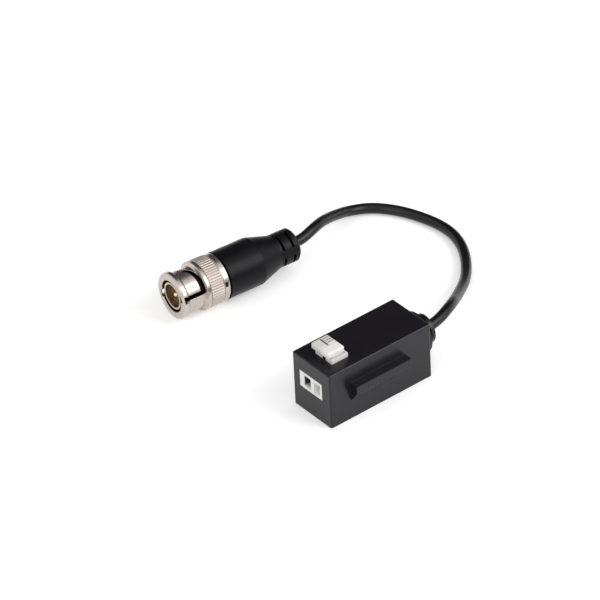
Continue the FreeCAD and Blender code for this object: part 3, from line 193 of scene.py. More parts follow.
@dataclass(frozen=True)
class Region:
    """Part of a piece that looks different, such as a hollow painted dark as painted shade.

    Its own axes are the row frame's, or on the plug they start at the nut's front, and the second
    one runs back along the plug. Lengths are in millimetres.

    Attributes:
        middle: Its middle along its own axes. A ring needs only the second number.
        half: Half of its size along its own axes. A ring needs only the second number.
        ring: Inner and outer radius round its second axis, where it is a ring.
        on_plug: Whether its axes are the plug's.
        soft: Width of its blurred border.
        colour: Colour of the surface in it as sRGB hex, or None for no change.
        roughness: Roughness of the surface in it, or None for no change.
    """

    middle: Triple
    half: Triple
    ring: tuple[float, float] | None = None
    on_plug: bool = False
    soft: float = 0.3
    colour: str | None = None
    roughness: float | None = None

    def mask(self, tree: Tree, place: Socket) -> Socket:
        """Socket that is 1 inside the region and 0 outside it.

        Args:
            tree: The material's node tree.
            place: Object coordinates in metres.

        Returns:
            Socket from 0 to 1.
        """
        origin, turn = (PLUG_FRONT, PLUG_TURN) if self.on_plug else ((0.0, 0.0, 0.0), 0.0)
        own = add_node(
            tree,
            "ShaderNodeMapping",
            {
                "Vector": place,
                "Location": [value * MM for value in origin],
                "Rotation": (0.0, 0.0, math.radians(turn)),
                "Scale": (MM, MM, MM),
            },
            vector_type="TEXTURE",
        ).outputs[0]
        offset = add_node(
            tree, "ShaderNodeVectorMath", {0: own, 1: self.middle}, operation="SUBTRACT"
        ).outputs[0]
        away = add_node(tree, "ShaderNodeVectorMath", {0: offset}, operation="ABSOLUTE").outputs[0]
        x, y, z = add_node(tree, "ShaderNodeSeparateXYZ", {"Vector": away}).outputs
        # Each border is a distance, its limit, and the mask's value nearer and farther than that.
        borders = [(y, self.half[1], 1.0, 0.0)]
        if self.ring:
            flat = add_node(
                tree, "ShaderNodeVectorMath", {0: own, 1: (1.0, 0.0, 1.0)}, operation="MULTIPLY"
            ).outputs[0]
            radius = add_node(
                tree, "ShaderNodeVectorMath", {0: flat}, operation="LENGTH"
            ).outputs["Value"]
            borders += [(radius, self.ring[0], 0.0, 1.0), (radius, self.ring[1], 1.0, 0.0)]
        else:
            borders += [(x, self.half[0], 1.0, 0.0), (z, self.half[2], 1.0, 0.0)]
        inside: Socket | float = 1.0
        for distance, limit, nearer, farther in borders:
            within = add_node(
                tree,
                "ShaderNodeMapRange",
                {
                    "Value": distance,
                    "From Min": limit - self.soft / 2,
                    "From Max": limit + self.soft / 2,
                    "To Min": nearer,
                    "To Max": farther,
                },
            ).outputs[0]
            inside = add_node(
                tree, "ShaderNodeMath", {0: inside, 1: within}, operation="MULTIPLY"
            ).outputs[0]
        return inside


@dataclass(frozen=True)
class Finish:
    """One real material and surface: its colour, gloss and fine relief.

    Attributes:
        name: Name of the Blender material.
        colour: Base colour as sRGB hex.
        shade: Second colour that the base drifts to in soft patches.
        roughness: Mean roughness.
        spread: How far roughness drifts either way.
        pattern: Kind of fine relief.
        grain: Size of the relief in millimetres.
        relief: Height of the relief in millimetres.
        metallic: 1 for metals.
        ior: Refractive index; metals keep the shader's own.
        coat: Weight of a clear glossy skin.
        edge: Radius in millimetres that sharp edges are softened by, 0 where they stay sharp.
        depth: How far light spreads under the surface in millimetres, 0 where it doesn't.
        regions: Parts of the piece that look different, later ones over earlier ones.
    """

    name: str
    colour: str
    shade: str
    roughness: float
    spread: float = 0.05
    pattern: Pattern = Pattern.POLISHED_MOULD
    grain: float = 0.5
    relief: float = 0.004
    metallic: float = 0.0
    ior: float = 1.5
    coat: float = 0.0
    edge: float = 0.0
    depth: float = 0.0
    regions: tuple[Region, ...] = ()

    def tint(self, tree: Tree, place: Socket, drift: Socket) -> Socket:
        """Colour of the surface.

        Args:
            tree: The material's node tree.
            place: Object coordinates in metres.
            drift: Soft patches, 0 to 1.

        Returns:
            Socket that carries the colour.
        """
        first, second = MIX_COLOURS
        tint = add_node(
            tree,
            "ShaderNodeMix",
            {
                MIX_SHARE: drift,
                first: linear_colour(self.colour),
                second: linear_colour(self.shade),
            },
            data_type="RGBA",
        ).outputs[MIX_COLOUR_OUT]
        for region in self.regions:
            if region.colour is not None:
                share = region.mask(tree, place)
                inputs = {MIX_SHARE: share, first: tint, second: linear_colour(region.colour)}
                mix = add_node(tree, "ShaderNodeMix", inputs, data_type="RGBA")
                tint = mix.outputs[MIX_COLOUR_OUT]
        return tint

    def gloss(self, tree: Tree, place: Socket, drift: Socket) -> Socket:
        """Roughness of the surface.

        Args:
            tree: The material's node tree.
            place: Object coordinates in metres.
            drift: Soft patches, 0 to 1.

        Returns:
            Socket that carries the roughness.
        """
        value = add_node(
            tree,
            "ShaderNodeMapRange",
            {
                "Value": drift,
                "From Min": PATCH_LOW,
                "From Max": PATCH_HIGH,
                "To Min": self.roughness - self.spread,
                "To Max": self.roughness + self.spread,
            },
        ).outputs[0]
        first, second = MIX_NUMBERS
        for region in self.regions:
            if region.roughness is not None:
                share = region.mask(tree, place)
                inputs = {MIX_SHARE: share, first: value, second: region.roughness}
                value = add_node(tree, "ShaderNodeMix", inputs).outputs[MIX_NUMBER_OUT]
        return value

    def height(self, tree: Tree, place: Socket) -> Socket:
        """Height of the fine relief.

        Args:
            tree: The material's node tree.
            place: Object coordinates in metres.

        Returns:
            Socket from 0 to 1.
        """
        noise = {"Vector": place, "Scale": 1.0 / (self.grain * MM)}
        if self.pattern is Pattern.SINTERED:
            return add_node(tree, "ShaderNodeTexVoronoi", noise).outputs["Distance"]
        if self.pattern in (Pattern.TURNED, Pattern.ROLLED):
            noise["Vector"] = add_node(
                tree,
                "ShaderNodeMapping",
                {
                    "Vector": place,
                    "Rotation": (0.0, 0.0, math.radians(PLUG_TURN)),
                    "Scale": (LINE_STRETCH, 1.0, LINE_STRETCH),
                },
                vector_type="TEXTURE",
            ).outputs["Vector"]
        noise["Detail"] = NOISE_DETAIL[self.pattern]
        return add_node(tree, "ShaderNodeTexNoise", noise).outputs["Fac"]

    def material(self) -> bpy.types.Material:
        """Build the material's node tree.

        Returns:
            The finished material.
        """
        finish = blank_material(self.name)
        tree = finish.node_tree
        place = add_node(tree, "ShaderNodeTexCoord").outputs["Object"]
        drift = add_node(tree, "ShaderNodeTexNoise", {"Vector": place, **PATCHES}).outputs["Fac"]
        bump = {
            "Height": self.height(tree, place),
            "Strength": 1.0,
            "Distance": self.relief * MM,
        }
        if self.edge:
            soft = add_node(
                tree, "ShaderNodeBevel", {"Radius": self.edge * MM}, samples=EDGE_SAMPLES
            )
            bump["Normal"] = soft.outputs["Normal"]
        surface = {
            "Base Color": self.tint(tree, place, drift),
            "Roughness": self.gloss(tree, place, drift),
            "Metallic": self.metallic,
            "Normal": add_node(tree, "ShaderNodeBump", bump).outputs["Normal"],
        }
        if not self.metallic:
            surface["IOR"] = self.ior
        if self.coat:
            surface["Coat Weight"] = self.coat
            surface["Coat Roughness"] = COAT_ROUGHNESS
        if self.depth:
            surface["Subsurface Weight"] = UNDER_SKIN
            surface["Subsurface Radius"] = UNDER_SKIN_REACH
            surface["Subsurface Scale"] = self.depth * MM
        shader = add_node(tree, "ShaderNodeBsdfPrincipled", surface)
        add_node(tree, "ShaderNodeOutputMaterial", {"Surface": shader.outputs["BSDF"]})
        return finish


# ABS straight from a spark-eroded mould: near-black, with a fine even grain that greys at a
# glancing angle. The real grain is some 0.05 mm wide, and is drawn coarser so that it shows.
BOX_ABS = Finish(
    "spark_eroded_abs", "#121116", "#16151a", 0.31, 0.02, Pattern.SPARK_ERODED,
    grain=0.28, relief=0.008, ior=1.42, edge=0.14,
)
# Polyamide 66 terminal: warm white, a little see-through, glossy where the mould was polished.
# Its left entry and the notch in its top's front edge are painted dark as painted shade.
ENTRY_PAINTED_SHADE = "#3a3b35"
TERMINAL_PA = Finish(
    "polyamide_terminal", "#f6f5f2", "#eeeeea", 0.38, 0.05,
    grain=0.8, edge=0.12, depth=0.6,
    regions=(
        # Left wire entry: painted shade.
        Region((-1.9, -15.2, 10.75), (1.6, 2.8, 1.9), colour=ENTRY_PAINTED_SHADE),
        # Notch in the top's front edge: painted shade.
        Region((0.8, -13.35, 16.0), (0.7, 0.6, 2.6), soft=0.1, colour=ENTRY_PAINTED_SHADE),
    ),
)
# Same polyamide, greyer on the left button as painted shade; slit and grip grooves painted shade.
BUTTON_GROOVE_PAINTED_SHADE = "#77776f"
BUTTON_PA_SHADED = Finish(
    "polyamide_button_shaded", "#e2e1dd", "#d6d6d1", 0.45, 0.06,
    grain=0.6, edge=0.12, depth=0.6,
    regions=(
        # Slit and grip grooves: painted shade.
        Region((-1.8, -12.05, 21.2), (2.0, 0.32, 0.42), soft=0.1, colour=BUTTON_GROOVE_PAINTED_SHADE),
        Region((-1.8, -10.3, 21.2), (1.6, 1.3, 0.4), soft=0.08, colour=BUTTON_GROOVE_PAINTED_SHADE),
    ),
)
# The same polyamide, white and with no painted shade, on the right button.
BUTTON_PA_WHITE = Finish(
    "polyamide_button_white", "#f6f5f2", "#efeeeb", 0.38, 0.05,
    grain=0.6, edge=0.12, depth=0.6,
)
# Glass-epoxy board under green solder mask: smooth lacquer, faintly uneven over the weave.
BOARD_MASK = Finish(
    "solder_mask", "#1f6b3a", "#1a5c33", 0.3, 0.04, grain=0.5, relief=0.01, coat=0.4
)
# Tinned brass bar: soft grey metal that was stamped from strip.
TINNED_BRASS = Finish(
    "tinned_brass", "#c9c7c0", "#b8b6ae", 0.3, 0.08, Pattern.ROLLED,
    grain=0.06, relief=0.002, metallic=1.0,
)
# Stainless spring strip, rolled bright: fine lines along it.
SPRING_STEEL = Finish(
    "rolled_stainless", "#b9b8b5", "#a9a8a5", 0.25, 0.05, Pattern.ROLLED,
    grain=0.05, relief=0.002, metallic=1.0,
)
# Pressed and sintered ferrite: dark grey, matt and finely pitted.
FERRITE = Finish(
    "sintered_ferrite", "#2b2b2d", "#353436", 0.7, 0.08, Pattern.SINTERED,
    grain=0.12, relief=0.01,
)
# Enamelled copper wire: reddish brown metal under clear lacquer.
COPPER_WIRE = Finish(
    "enamelled_copper", "#b5652f", "#a2562a", 0.28, 0.06, grain=0.3, metallic=1.0, coat=0.6
)
# Epoxy of the board's parts, transfer-moulded: dark and matt, with the mould's fine grain.
PART_EPOXY = Finish(
    "moulded_epoxy", "#1b1b1c", "#242425", 0.5, 0.06, Pattern.SPARK_ERODED,
    grain=0.1, relief=0.006,
)
# Soft PVC strain relief, moulded on the cable: black with a dull shine.
RELIEF_PVC = Finish(
    "strain_relief_pvc", "#111114", "#161618", 0.32, 0.05,
    grain=0.7, relief=0.006, ior=1.4, edge=0.2,
)
# Boot of soft PVC from a smoother mould: a broad and faint shine runs along it.
BOOT_PVC = Finish(
    "boot_pvc", "#0c0b0f", "#100f13", 0.36, 0.03,
    grain=0.9, relief=0.005, ior=1.25, edge=0.3,
)
# Extruded PVC jacket: black, with a narrow bright line along its crest.
CABLE_PVC = Finish(
    "extruded_pvc", "#0e0e10", "#131315", 0.30, 0.05, grain=1.4, relief=0.006, ior=1.38
)
# Bright nickel over turned brass: warm grey mirror with faint rings at the lathe's feed of some
# 0.12 mm a turn. Its hollows carry painted shade, and the knurling wheel left its grooves matt.
NICKEL_PAINTED_SHADE = "#33201a"
NICKEL = Finish(
    "bright_nickel", "#c9bfb9", "#b9afa8", 0.27, 0.06, Pattern.TURNED,
    grain=0.12, relief=0.0015, metallic=1.0, edge=0.25,
    regions=(
        # Bore, and the cam slots' walls: painted shade.
        Region(
            (0.0, 8.0, 0.0), (0.0, 7.7, 0.0), ring=(-1.0, 5.9), on_plug=True, colour=NICKEL_PAINTED_SHADE
        ),
        # Front of the bore: lighter painted shade, where light still gets in.
        Region(
            (0.0, 1.7, 0.0), (0.0, 1.5, 0.0), ring=(-1.0, 5.2), on_plug=True, colour="#a8987f"
        ),
        # Key ways: painted shade.
        Region(
            (0.0, 4.1, 0.0), (0.0, 4.0, 0.0), ring=(5.4, 5.95), on_plug=True, soft=0.06,
            colour=NICKEL_PAINTED_SHADE,
        ),
        # Punched mark on the rear band: painted shade in its hollow.
        Region(
            (6.75, 14.5, 1.65), (0.42, 0.5, 0.85), on_plug=True, soft=0.1, colour=NICKEL_PAINTED_SHADE
        ),
        # Knurl.
        Region(
            (0.0, 11.5, 0.0), (0.0, 2.1, 0.0), ring=(6.8, 7.8), on_plug=True, soft=0.1,
            roughness=0.5,
        ),
    ),
)
# The body's sleeve is nickel too, yellower and bright only at its front edge and in its bore;
# the rest of its outside is painted dark as painted shade.
SLEEVE_NICKEL = Finish(
    "sleeve_nickel", "#d2c5b6", "#c0b09c", 0.24, 0.06, Pattern.TURNED,
    grain=0.1, relief=0.0015, metallic=1.0,
    regions=(
        # Outside of the sleeve behind its front edge: painted shade.
        Region(
            (0.0, 11.2, 0.0), (0.0, 10.0, 0.0), ring=(3.9, 9.0), on_plug=True, colour=NICKEL_PAINTED_SHADE
        ),
    ),
)
# Hard gold over nickel on the centre pin.
GOLD = Finish(
    "contact_gold", "#ead6a8", "#dcc48e", 0.28, 0.05, Pattern.TURNED,
    grain=0.1, relief=0.001, metallic=1.0,
)
# Turned dielectric of the plug: tan and matt, with the tool's rings.
DIELECTRIC = Finish(
    "turned_dielectric", "#d2bf9f", "#bba787", 0.5, 0.05, Pattern.TURNED,
    grain=0.15, relief=0.004,
)
# Moulded silicone gasket: dark grey and dull.
GASKET = Finish("silicone_gasket", "#2a2a2c", "#333335", 0.55, 0.05, grain=0.4, relief=0.004)


CAD_FINISHES: dict[str, Finish] = {
    "housing_shell": BOX_ABS,
    "bottom_cover": BOX_ABS,
    "circuit_board": BOARD_MASK,
    "terminal_body": TERMINAL_PA,
    "button_left": BUTTON_PA_SHADED,
    "button_right": BUTTON_PA_WHITE,
    "contact_bar_left": TINNED_BRASS,
    "contact_bar_right": TINNED_BRASS,
    "transformer_core": FERRITE,
    "surge_suppressor": PART_EPOXY,
    "chip_parts": PART_EPOXY,
    "core_wire": COPPER_WIRE,
    "shield_pigtail": TINNED_BRASS,
    "strain_relief": RELIEF_PVC,
    "plug_boot": BOOT_PVC,
    "coupling_nut": NICKEL,
    "plug_body": SLEEVE_NICKEL,
    "insulator": DIELECTRIC,
    "centre_pin": GOLD,
    "seal_gasket": GASKET,
    "thrust_washer": NICKEL,
    "retaining_ring": SPRING_STEEL,
    "crimp_ferrule": TINNED_BRASS,
}


# Sub-assemblies


@dataclass
class RigidPieces:
    """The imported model's own pieces, which keep their shape and get their finishes.

    Attributes:
        nodes: The model's objects by name.
        made: Materials built so far, by their finish's name.
    """

    nodes: dict[str, bpy.types.Object]
    made: dict[str, bpy.types.Material] = field(default_factory=dict)

    def finish(self, wanted: Finish) -> bpy.types.Material:
        """Material of a finish, built once.

        Args:
            wanted: The finish.

        Returns:
            Its material.
        """
        if wanted.name not in self.made:
            self.made[wanted.name] = wanted.material()
        return self.made[wanted.name]

    def build(self) -> None:
        """Dress every piece that keeps its shape."""
        for name, wanted in CAD_FINISHES.items():
            dress(self.nodes[name], self.finish(wanted))
            log.info("%s: %s", name, wanted.name)


@dataclass
class Springs:
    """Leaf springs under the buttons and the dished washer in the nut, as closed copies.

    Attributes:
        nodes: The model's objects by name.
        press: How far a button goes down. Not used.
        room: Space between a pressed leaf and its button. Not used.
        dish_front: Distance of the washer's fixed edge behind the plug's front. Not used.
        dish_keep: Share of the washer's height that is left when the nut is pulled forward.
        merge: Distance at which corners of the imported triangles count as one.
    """

    nodes: dict[str, bpy.types.Object]
    press: float = 1.2 * MM
    room: float = 0.1 * MM
    dish_front: float = 10.3 * MM
    dish_keep: float = 0.35
    merge: float = 0.001 * MM

    def copy(self, node: str, name: str, steel: bpy.types.Material) -> bpy.types.Object:
        """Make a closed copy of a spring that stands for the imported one.

        Args:
            node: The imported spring.
            name: Name of the new piece.
            steel: Finish of the spring.

        Returns:
            The new piece.
        """
        mesh = self.nodes[node].data.copy()
        mesh.name = name
        form = bmesh.new()
        form.from_mesh(mesh)
        bmesh.ops.remove_doubles(form, verts=form.verts, dist=self.merge)
        bmesh.ops.recalc_face_normals(form, faces=form.faces)
        form.to_mesh(mesh)
        form.free()
        piece = link(bpy.data.objects.new(name, mesh))
        dress(piece, steel)
        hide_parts(node)
        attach(piece, "balun")
        return piece

    def build(self, steel: bpy.types.Material) -> None:
        """Make closed copies of the springs in place of the imported ones.

        Args:
            steel: Finish of the springs.
        """
        for side in ("left", "right"):
            leaf = self.copy("clamp_spring_" + side, "clamp_leaf_" + side, steel)
            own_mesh(leaf)
        dish = self.copy("spring_washer", "dished_washer", steel)
        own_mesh(dish)
        log.info("dished_washer: keeps %.2f of its height", self.dish_keep)


@dataclass
class Cable:
    """Free coaxial cable between the box's strain relief and the plug's boot.

    Attributes:
        diameter: Outside of the jacket.
        length: Length between the strain relief's end and the boot's end, along the middle. Not
            used.
        round_steps: Steps that round the jacket's section, as Blender counts them.
        line_steps: Steps along the jacket for each stretch of the route.
        route: Control points of the cable's line in millimetres, as packed.
    """

    diameter: float = 3.2 * MM
    length: float = 0.125
    round_steps: int = 10
    line_steps: int = 12
    route: tuple[Triple, ...] = (
        (0.0, 23.6, 9.7),
        (0.0, 27.1, 9.7),
        (-2.4, 34.2, 10.5),
        (-9.9, 43.5, 5.8),
        (-18.7, 54.4, 2.1),
        (-30.0, 63.2, 1.6),
        (-41.1, 66.4, 1.6),
        (-54.6, 63.1, 1.6),
        (-63.7, 57.2, 1.6),
        (-66.5, 50.0, 2.4),
        (-64.8, 43.0, 5.0),
        (-62.2, 36.2, 7.5),
        (-60.0, 31.5, 8.5),
        (-58.9785, 25.9266, 7.5),
        (-59.2316, 22.6364, 7.5),
    )

    def build(self, jacket: bpy.types.Material) -> None:
        """Args:
            jacket: Finish of the jacket.
        """
        curve = bpy.data.curves.new("coax_jacket", "CURVE")
        curve.dimensions = "3D"
        curve.bevel_depth = self.diameter / 2
        curve.bevel_resolution = self.round_steps
        curve.use_fill_caps = True
        curve.resolution_u = self.line_steps
        curve.materials.append(jacket)
        line = curve.splines.new("NURBS")
        line.points.add(len(self.route) - 1)
        for point, place in zip(line.points, self.route):
            point.co = (place[0] * MM, place[1] * MM, place[2] * MM, 1.0)
        line.order_u = 3
        line.use_endpoint_u = True
        cable = link(bpy.data.objects.new("coax_jacket", curve))
        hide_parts("coax_cable")
        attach(cable, "balun")
        log.info("coax_jacket: %d points", len(self.route))


@dataclass
class Transformer:
    """Enamelled turns on the ring core.

    Attributes:
        core_outer: Outer radius of the core.
        core_inner: Inner radius of the core.
        core_high: Height of the core.
        wire: Radius of the wire.
        underside: Middle of the windings' underside.
        turns: Turns in one winding.
        sweep: Angle that one winding covers, in radians.
        wire_sides: Sides of the wire's section.
        corner_steps: Steps in each rounded corner of a turn.
    """

    core_outer: float = 3.6 * MM
    core_inner: float = 1.7 * MM
    core_high: float = 2.6 * MM
    wire: float = 0.25 * MM
    underside: Triple = (0.0, 1.2 * MM, 5.2 * MM)
    turns: int = 14
    sweep: float = math.radians(126)
    wire_sides: int = 8
    corner_steps: int = 3

    def turn_tree(self) -> Tree:
        """Node tree that repeats one rectangular turn of wire round the core.

        Returns:
            Geometry node group with sizes and the turn count as inputs.
        """
        tree = bpy.data.node_groups.new("core_turns", "GeometryNodeTree")
        face = tree.interface
        face.new_socket("Geometry", in_out="OUTPUT", socket_type="NodeSocketGeometry")
        face.new_socket("Turns", in_out="INPUT", socket_type="NodeSocketInt")
        for name in ("Start", "Sweep", "Middle", "Wide", "High", "Wire"):
            face.new_socket(name, in_out="INPUT", socket_type="NodeSocketFloat")
        face.new_socket("Enamel", in_out="INPUT", socket_type="NodeSocketMaterial")
        given = add_node(tree, "NodeGroupInput").outputs
        # One turn: a rectangle with rounded corners, swept by the wire's section and set upright.
        outline = add_node(
            tree,
            "GeometryNodeCurvePrimitiveQuadrilateral",
            {"Width": given["Wide"], "Height": given["High"]},
        ).outputs[0]
        rounded = add_node(
            tree,
            "GeometryNodeFilletCurve",
            {"Curve": outline, "Radius": given["Wire"], "Count": self.corner_steps},
            mode="POLY",
        ).outputs[0]
        section = add_node(
            tree,
            "GeometryNodeCurvePrimitiveCircle",
            {"Resolution": self.wire_sides, "Radius": given["Wire"]},
            mode="RADIUS",
        ).outputs[0]
        wire = add_node(
            tree, "GeometryNodeCurveToMesh", {"Curve": rounded, "Profile Curve": section}
        ).outputs[0]
        upright = add_node(
            tree, "GeometryNodeTransform", {"Geometry": wire, "Rotation": (math.pi / 2, 0.0, 0.0)}
        ).outputs[0]
        # The turns' places: angles from Start to Start + Sweep, on a circle of radius Middle.
        spots = add_node(tree, "GeometryNodePoints", {"Count": given["Turns"]}).outputs[0]
        value = add_node(tree, "GeometryNodeInputIndex").outputs[0]
        last = add_node(
            tree, "ShaderNodeMath", {0: given["Turns"], 1: 1.0}, operation="SUBTRACT"
        ).outputs[0]
        steps = (("DIVIDE", last), ("MULTIPLY", given["Sweep"]), ("ADD", given["Start"]))
        for operation, other in steps:
            value = add_node(
                tree, "ShaderNodeMath", {0: value, 1: other}, operation=operation
            ).outputs[0]
        across = []
        for operation in ("COSINE", "SINE"):
            unit = add_node(tree, "ShaderNodeMath", {0: value}, operation=operation).outputs[0]
            across.append(
                add_node(
                    tree, "ShaderNodeMath", {0: unit, 1: given["Middle"]}, operation="MULTIPLY"
                ).outputs[0]
            )
        spot = add_node(tree, "ShaderNodeCombineXYZ", {"X": across[0], "Y": across[1]})
        placed = add_node(
            tree, "GeometryNodeSetPosition", {"Geometry": spots, "Position": spot.outputs[0]}
        )
        turn = add_node(tree, "ShaderNodeCombineXYZ", {"Z": value})
        facing = add_node(tree, "FunctionNodeEulerToRotation", {"Euler": turn.outputs[0]})
        copies = add_node(
            tree,
            "GeometryNodeInstanceOnPoints",
            {"Points": placed.outputs[0], "Instance": upright, "Rotation": facing.outputs[0]},
        )
        solid = add_node(
            tree, "GeometryNodeRealizeInstances", {"Geometry": copies.outputs[0]}
        )
        coloured = add_node(
            tree,
            "GeometryNodeSetMaterial",
            {"Geometry": solid.outputs[0], "Material": given["Enamel"]},
        )
        smooth = add_node(
            tree, "GeometryNodeSetShadeSmooth", {"Geometry": coloured.outputs[0]}
        )
        add_node(tree, "NodeGroupOutput", {"Geometry": smooth.outputs[0]})
        return tree

    def winding(
        self, name: str, start: float, tree: Tree, enamel: bpy.types.Material
    ) -> bpy.types.Object:
        """Make one winding as a plain mesh.

        Args:
            name: Name of the new piece.
            start: Angle of its first turn, in radians.
            tree: Node tree of the turns.
            enamel: Finish of the wire.

        Returns:
            The finished piece, at rest in the row frame.
        """
        blank = bpy.data.meshes.new(name + "_maker")
        maker = link(bpy.data.objects.new(name + "_maker", blank))
        modifier = maker.modifiers.new("turns", "NODES")
        modifier.node_group = tree
        values: dict[str, Any] = {
            "Turns": self.turns,
            "Start": start,
            "Sweep": self.sweep,
            "Middle": (self.core_outer + self.core_inner) / 2,
            "Wide": self.core_outer - self.core_inner + 2 * self.wire,
            "High": self.core_high + 2 * self.wire,
            "Wire": self.wire,
            "Enamel": enamel,
        }
        for socket in tree.interface.items_tree:
            if socket.in_out == "INPUT":
                modifier[socket.identifier] = values[socket.name]
        evaluated = maker.evaluated_get(bpy.context.evaluated_depsgraph_get())
        mesh = bpy.data.meshes.new_from_object(evaluated)
        bpy.data.objects.remove(maker)
        x, y, bottom = self.underside
        middle = bottom + 2 * self.wire + self.core_high / 2
        mesh.transform(Matrix.Translation((x, y, middle)))
        return link(bpy.data.objects.new(name, mesh))

    def build(self, enamel: bpy.types.Material) -> None:
        """Make both windings and put them on the box's body.

        Args:
            enamel: Finish of the wire.
        """
        tree = self.turn_tree()
        for name, middle, node in (
            ("line_turns", math.pi / 2, "winding_line"),
            ("coax_turns", -math.pi / 2, "winding_coax"),
        ):
            piece = self.winding(name, middle - self.sweep / 2, tree, enamel)
            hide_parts(node)
            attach(piece, "balun")
            log.info("%s: %d turns", name, self.turns)


@dataclass(frozen=True)
class Lamp:
    """Soft square lamp.

    Attributes:
        name: Name of the lamp.
        spot: Place of the lamp.
        size: Side of the lamp.
        power: Watts.
    """

    name: str
    spot: Triple
    size: float
    power: float


@dataclass
class Studio:
    """Pale floor, soft light and the camera.

    Attributes:
        azimuth: Camera direction round the box in degrees.
        elevation: Camera height above the horizon in degrees.
        roll: Tilt of the picture in degrees.
        shift_right: Camera's sideways place.
        shift_up: Camera's upward place.
        distance: Camera's distance.
        aim_front: How far in front of the origin the point is that the camera's place counts from.
        lens: Focal length in millimetres.
        film: Width of the picture on the camera's film in millimetres.
        near: Nearest distance that the camera sees.
        far: Farthest distance that the camera sees.
        floor_side: Side of the square floor.
        floor_lift: Glow of the floor in what the camera sees, so that it reads white.
        floor_fibre: Density of the floor's paper fibres, per metre.
        sky: Strength of the even light.
        card_way: Direction from the origin to the dark card.
        card_far: Distance of the dark card.
        card_wide: Width of the dark card.
        card_high: Height of the dark card.
        lamps: Lamps behind and in front of the object.
        lit: Point that the lamps aim at.
    """

    azimuth: float = 52.68
    elevation: float = 36.38
    roll: float = -2.90
    shift_right: float = -3.65 * MM
    shift_up: float = 32.13 * MM
    distance: float = 1325.2 * MM
    aim_front: float = 18.2 * MM
    lens: float = 285.8
    film: float = 36.0
    near: float = 0.05
    far: float = 20.0
    floor_side: float = 12.0
    floor_lift: float = 0.32
    floor_fibre: float = 900.0
    sky: float = 0.6
    card_way: Triple = (-0.64, 0.488, 0.593)
    card_far: float = 1.2
    card_wide: float = 2.2
    card_high: float = 1.6
    lamps: tuple[Lamp, ...] = (
        Lamp("lamp_key", (0.64, 0.47, 0.61), 0.6, 4.4),
        Lamp("lamp_front", (0.2, -0.9, 0.6), 0.5, 1.6),
    )
    lit: Triple = (-0.03, 0.01, 0.01)

    def camera(self) -> None:
        """Place the camera at the photograph's viewing angle."""
        turn, rise, roll = (math.radians(v) for v in (self.azimuth, self.elevation, self.roll))
        level = Vector((math.sin(turn), -math.cos(turn), 0.0))
        back = math.cos(rise) * level + Vector((0.0, 0.0, math.sin(rise)))
        right = Vector((math.cos(turn), math.sin(turn), 0.0))
        up = back.cross(right)
        tilted_right = math.cos(roll) * right + math.sin(roll) * up
        tilted_up = -math.sin(roll) * right + math.cos(roll) * up
        spot = self.shift_right * tilted_right + self.shift_up * tilted_up + self.distance * back
        spot.y -= self.aim_front
        lens = bpy.data.cameras.new("camera")
        lens.lens = self.lens
        lens.sensor_width = self.film
        lens.clip_start = self.near
        lens.clip_end = self.far
        camera = link(bpy.data.objects.new("camera", lens))
        pose = Matrix((tilted_right, tilted_up, back)).transposed().to_4x4()
        camera.matrix_world = Matrix.Translation(spot) @ pose
        bpy.context.scene.camera = camera

    def shown_rays(self, tree: Tree) -> Socket:
        """Socket that is 1 for what the camera sees, directly, in a mirror or through glass.

        Args:
            tree: Node tree of the floor or the world.

        Returns:
            Socket that is 1 or 0.
        """
        path = add_node(tree, "ShaderNodeLightPath").outputs
        shown = path["Is Camera Ray"]
        for ray in ("Is Glossy Ray", "Is Transmission Ray"):
            shown = add_node(
                tree, "ShaderNodeMath", {0: shown, 1: path[ray]}, operation="MAXIMUM"
            ).outputs[0]
        return shown

    def rectangle(self, name: str, wide: float, high: float) -> bpy.types.Object:
        """Make a flat rectangle round the origin.

        Args:
            name: Name of the new object.
            wide: Its size along x.
            high: Its size along y.

        Returns:
            The new object.
        """
        x, y = wide / 2, high / 2
        mesh = bpy.data.meshes.new(name)
        mesh.from_pydata([(-x, -y, 0), (x, -y, 0), (x, y, 0), (-x, y, 0)], [], [(0, 1, 2, 3)])
        return link(bpy.data.objects.new(name, mesh))

    def floor(self) -> None:
        """Lay a plain pale floor that reads white behind the object and keeps its shadow."""
        floor = self.rectangle("floor", self.floor_side, self.floor_side)
        paper = blank_material("white_paper_floor")
        tree = paper.node_tree
        place = add_node(tree, "ShaderNodeTexCoord").outputs["Object"]
        fibre = add_node(
            tree, "ShaderNodeTexNoise", {"Vector": place, "Scale": self.floor_fibre, "Detail": 2.0}
        ).outputs["Fac"]
        first, second = MIX_COLOURS
        tint = add_node(
            tree,
            "ShaderNodeMix",
            {
                MIX_SHARE: fibre,
                first: linear_colour("#ffffff"),
                second: linear_colour("#fdfdfd"),
            },
            data_type="RGBA",
        ).outputs[MIX_COLOUR_OUT]
        sheet = add_node(tree, "ShaderNodeBsdfDiffuse", {"Color": tint}).outputs[0]
        glow = add_node(
            tree,
            "ShaderNodeMath",
            {0: self.shown_rays(tree), 1: self.floor_lift},
            operation="MULTIPLY",
        ).outputs[0]
        lift = add_node(tree, "ShaderNodeEmission", {"Strength": glow}).outputs[0]
        both = add_node(tree, "ShaderNodeAddShader", {0: sheet, 1: lift}).outputs[0]
        add_node(tree, "ShaderNodeOutputMaterial", {"Surface": both})
        dress(floor, paper)

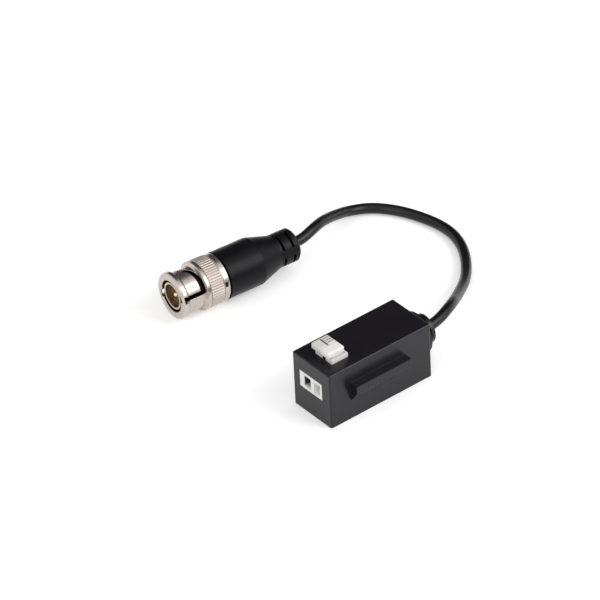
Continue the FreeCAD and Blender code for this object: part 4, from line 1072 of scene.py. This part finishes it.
    def black_card(self) -> None:
        """Hang the dark card that only the box's top and the metal mirror."""
        card = self.rectangle("black_card", self.card_wide, self.card_high)
        way = Vector(self.card_way)
        facing = way.to_track_quat("Z", "Y").to_matrix().to_4x4()
        card.data.transform(Matrix.Translation(way.normalized() * self.card_far) @ facing)
        velvet = blank_material("black_velvet")
        tree = velvet.node_tree
        cloth = add_node(tree, "ShaderNodeBsdfDiffuse", {"Color": linear_colour("#5e595b")})
        add_node(tree, "ShaderNodeOutputMaterial", {"Surface": cloth.outputs[0]})
        dress(card, velvet)
        card.visible_camera = False
        card.visible_diffuse = False
        card.visible_shadow = False
        card.visible_transmission = False

    def world(self) -> None:
        """Light everything evenly, with a white background for the camera, metal and glass."""
        world = bpy.data.worlds.new("studio")
        bpy.context.scene.world = world
        world.use_nodes = True
        tree = world.node_tree
        tree.nodes.clear()
        white = linear_colour("#ffffff")
        light, shown = (
            add_node(tree, "ShaderNodeBackground", {"Color": white, "Strength": strength})
            for strength in (self.sky, 1.0)
        )
        mixed = add_node(
            tree,
            "ShaderNodeMixShader",
            {0: self.shown_rays(tree), 1: light.outputs[0], 2: shown.outputs[0]},
        )
        add_node(tree, "ShaderNodeOutputWorld", {"Surface": mixed.outputs[0]})

    def hang(self, wanted: Lamp) -> None:
        """Hang one soft square lamp that points at the object.

        Args:
            wanted: The lamp to hang.
        """
        light = bpy.data.lights.new(wanted.name, "AREA")
        light.shape = "SQUARE"
        light.size = wanted.size
        light.energy = wanted.power
        lamp = link(bpy.data.objects.new(wanted.name, light))
        aim = (Vector(self.lit) - Vector(wanted.spot)).to_track_quat("-Z", "Y")
        lamp.matrix_world = Matrix.Translation(wanted.spot) @ aim.to_matrix().to_4x4()

    def build(self) -> None:
        """Set up camera, floor, background and lamps."""
        self.camera()
        self.floor()
        self.world()
        self.black_card()
        for wanted in self.lamps:
            self.hang(wanted)
        bpy.context.scene.view_settings.view_transform = "Standard"
        log.info("studio ready")


def main() -> None:
    """Load the frame, dress it and set up the studio."""
    logging.basicConfig(level=logging.INFO, format="%(name)s: %(message)s")
    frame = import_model()
    rigid = RigidPieces(frame["nodes"])
    rigid.build()
    Springs(frame["nodes"]).build(rigid.finish(SPRING_STEEL))
    Cable().build(rigid.finish(CABLE_PVC))
    Transformer().build(rigid.finish(COPPER_WIRE))
    Studio().build()


if __name__ == "__main__":
    main()
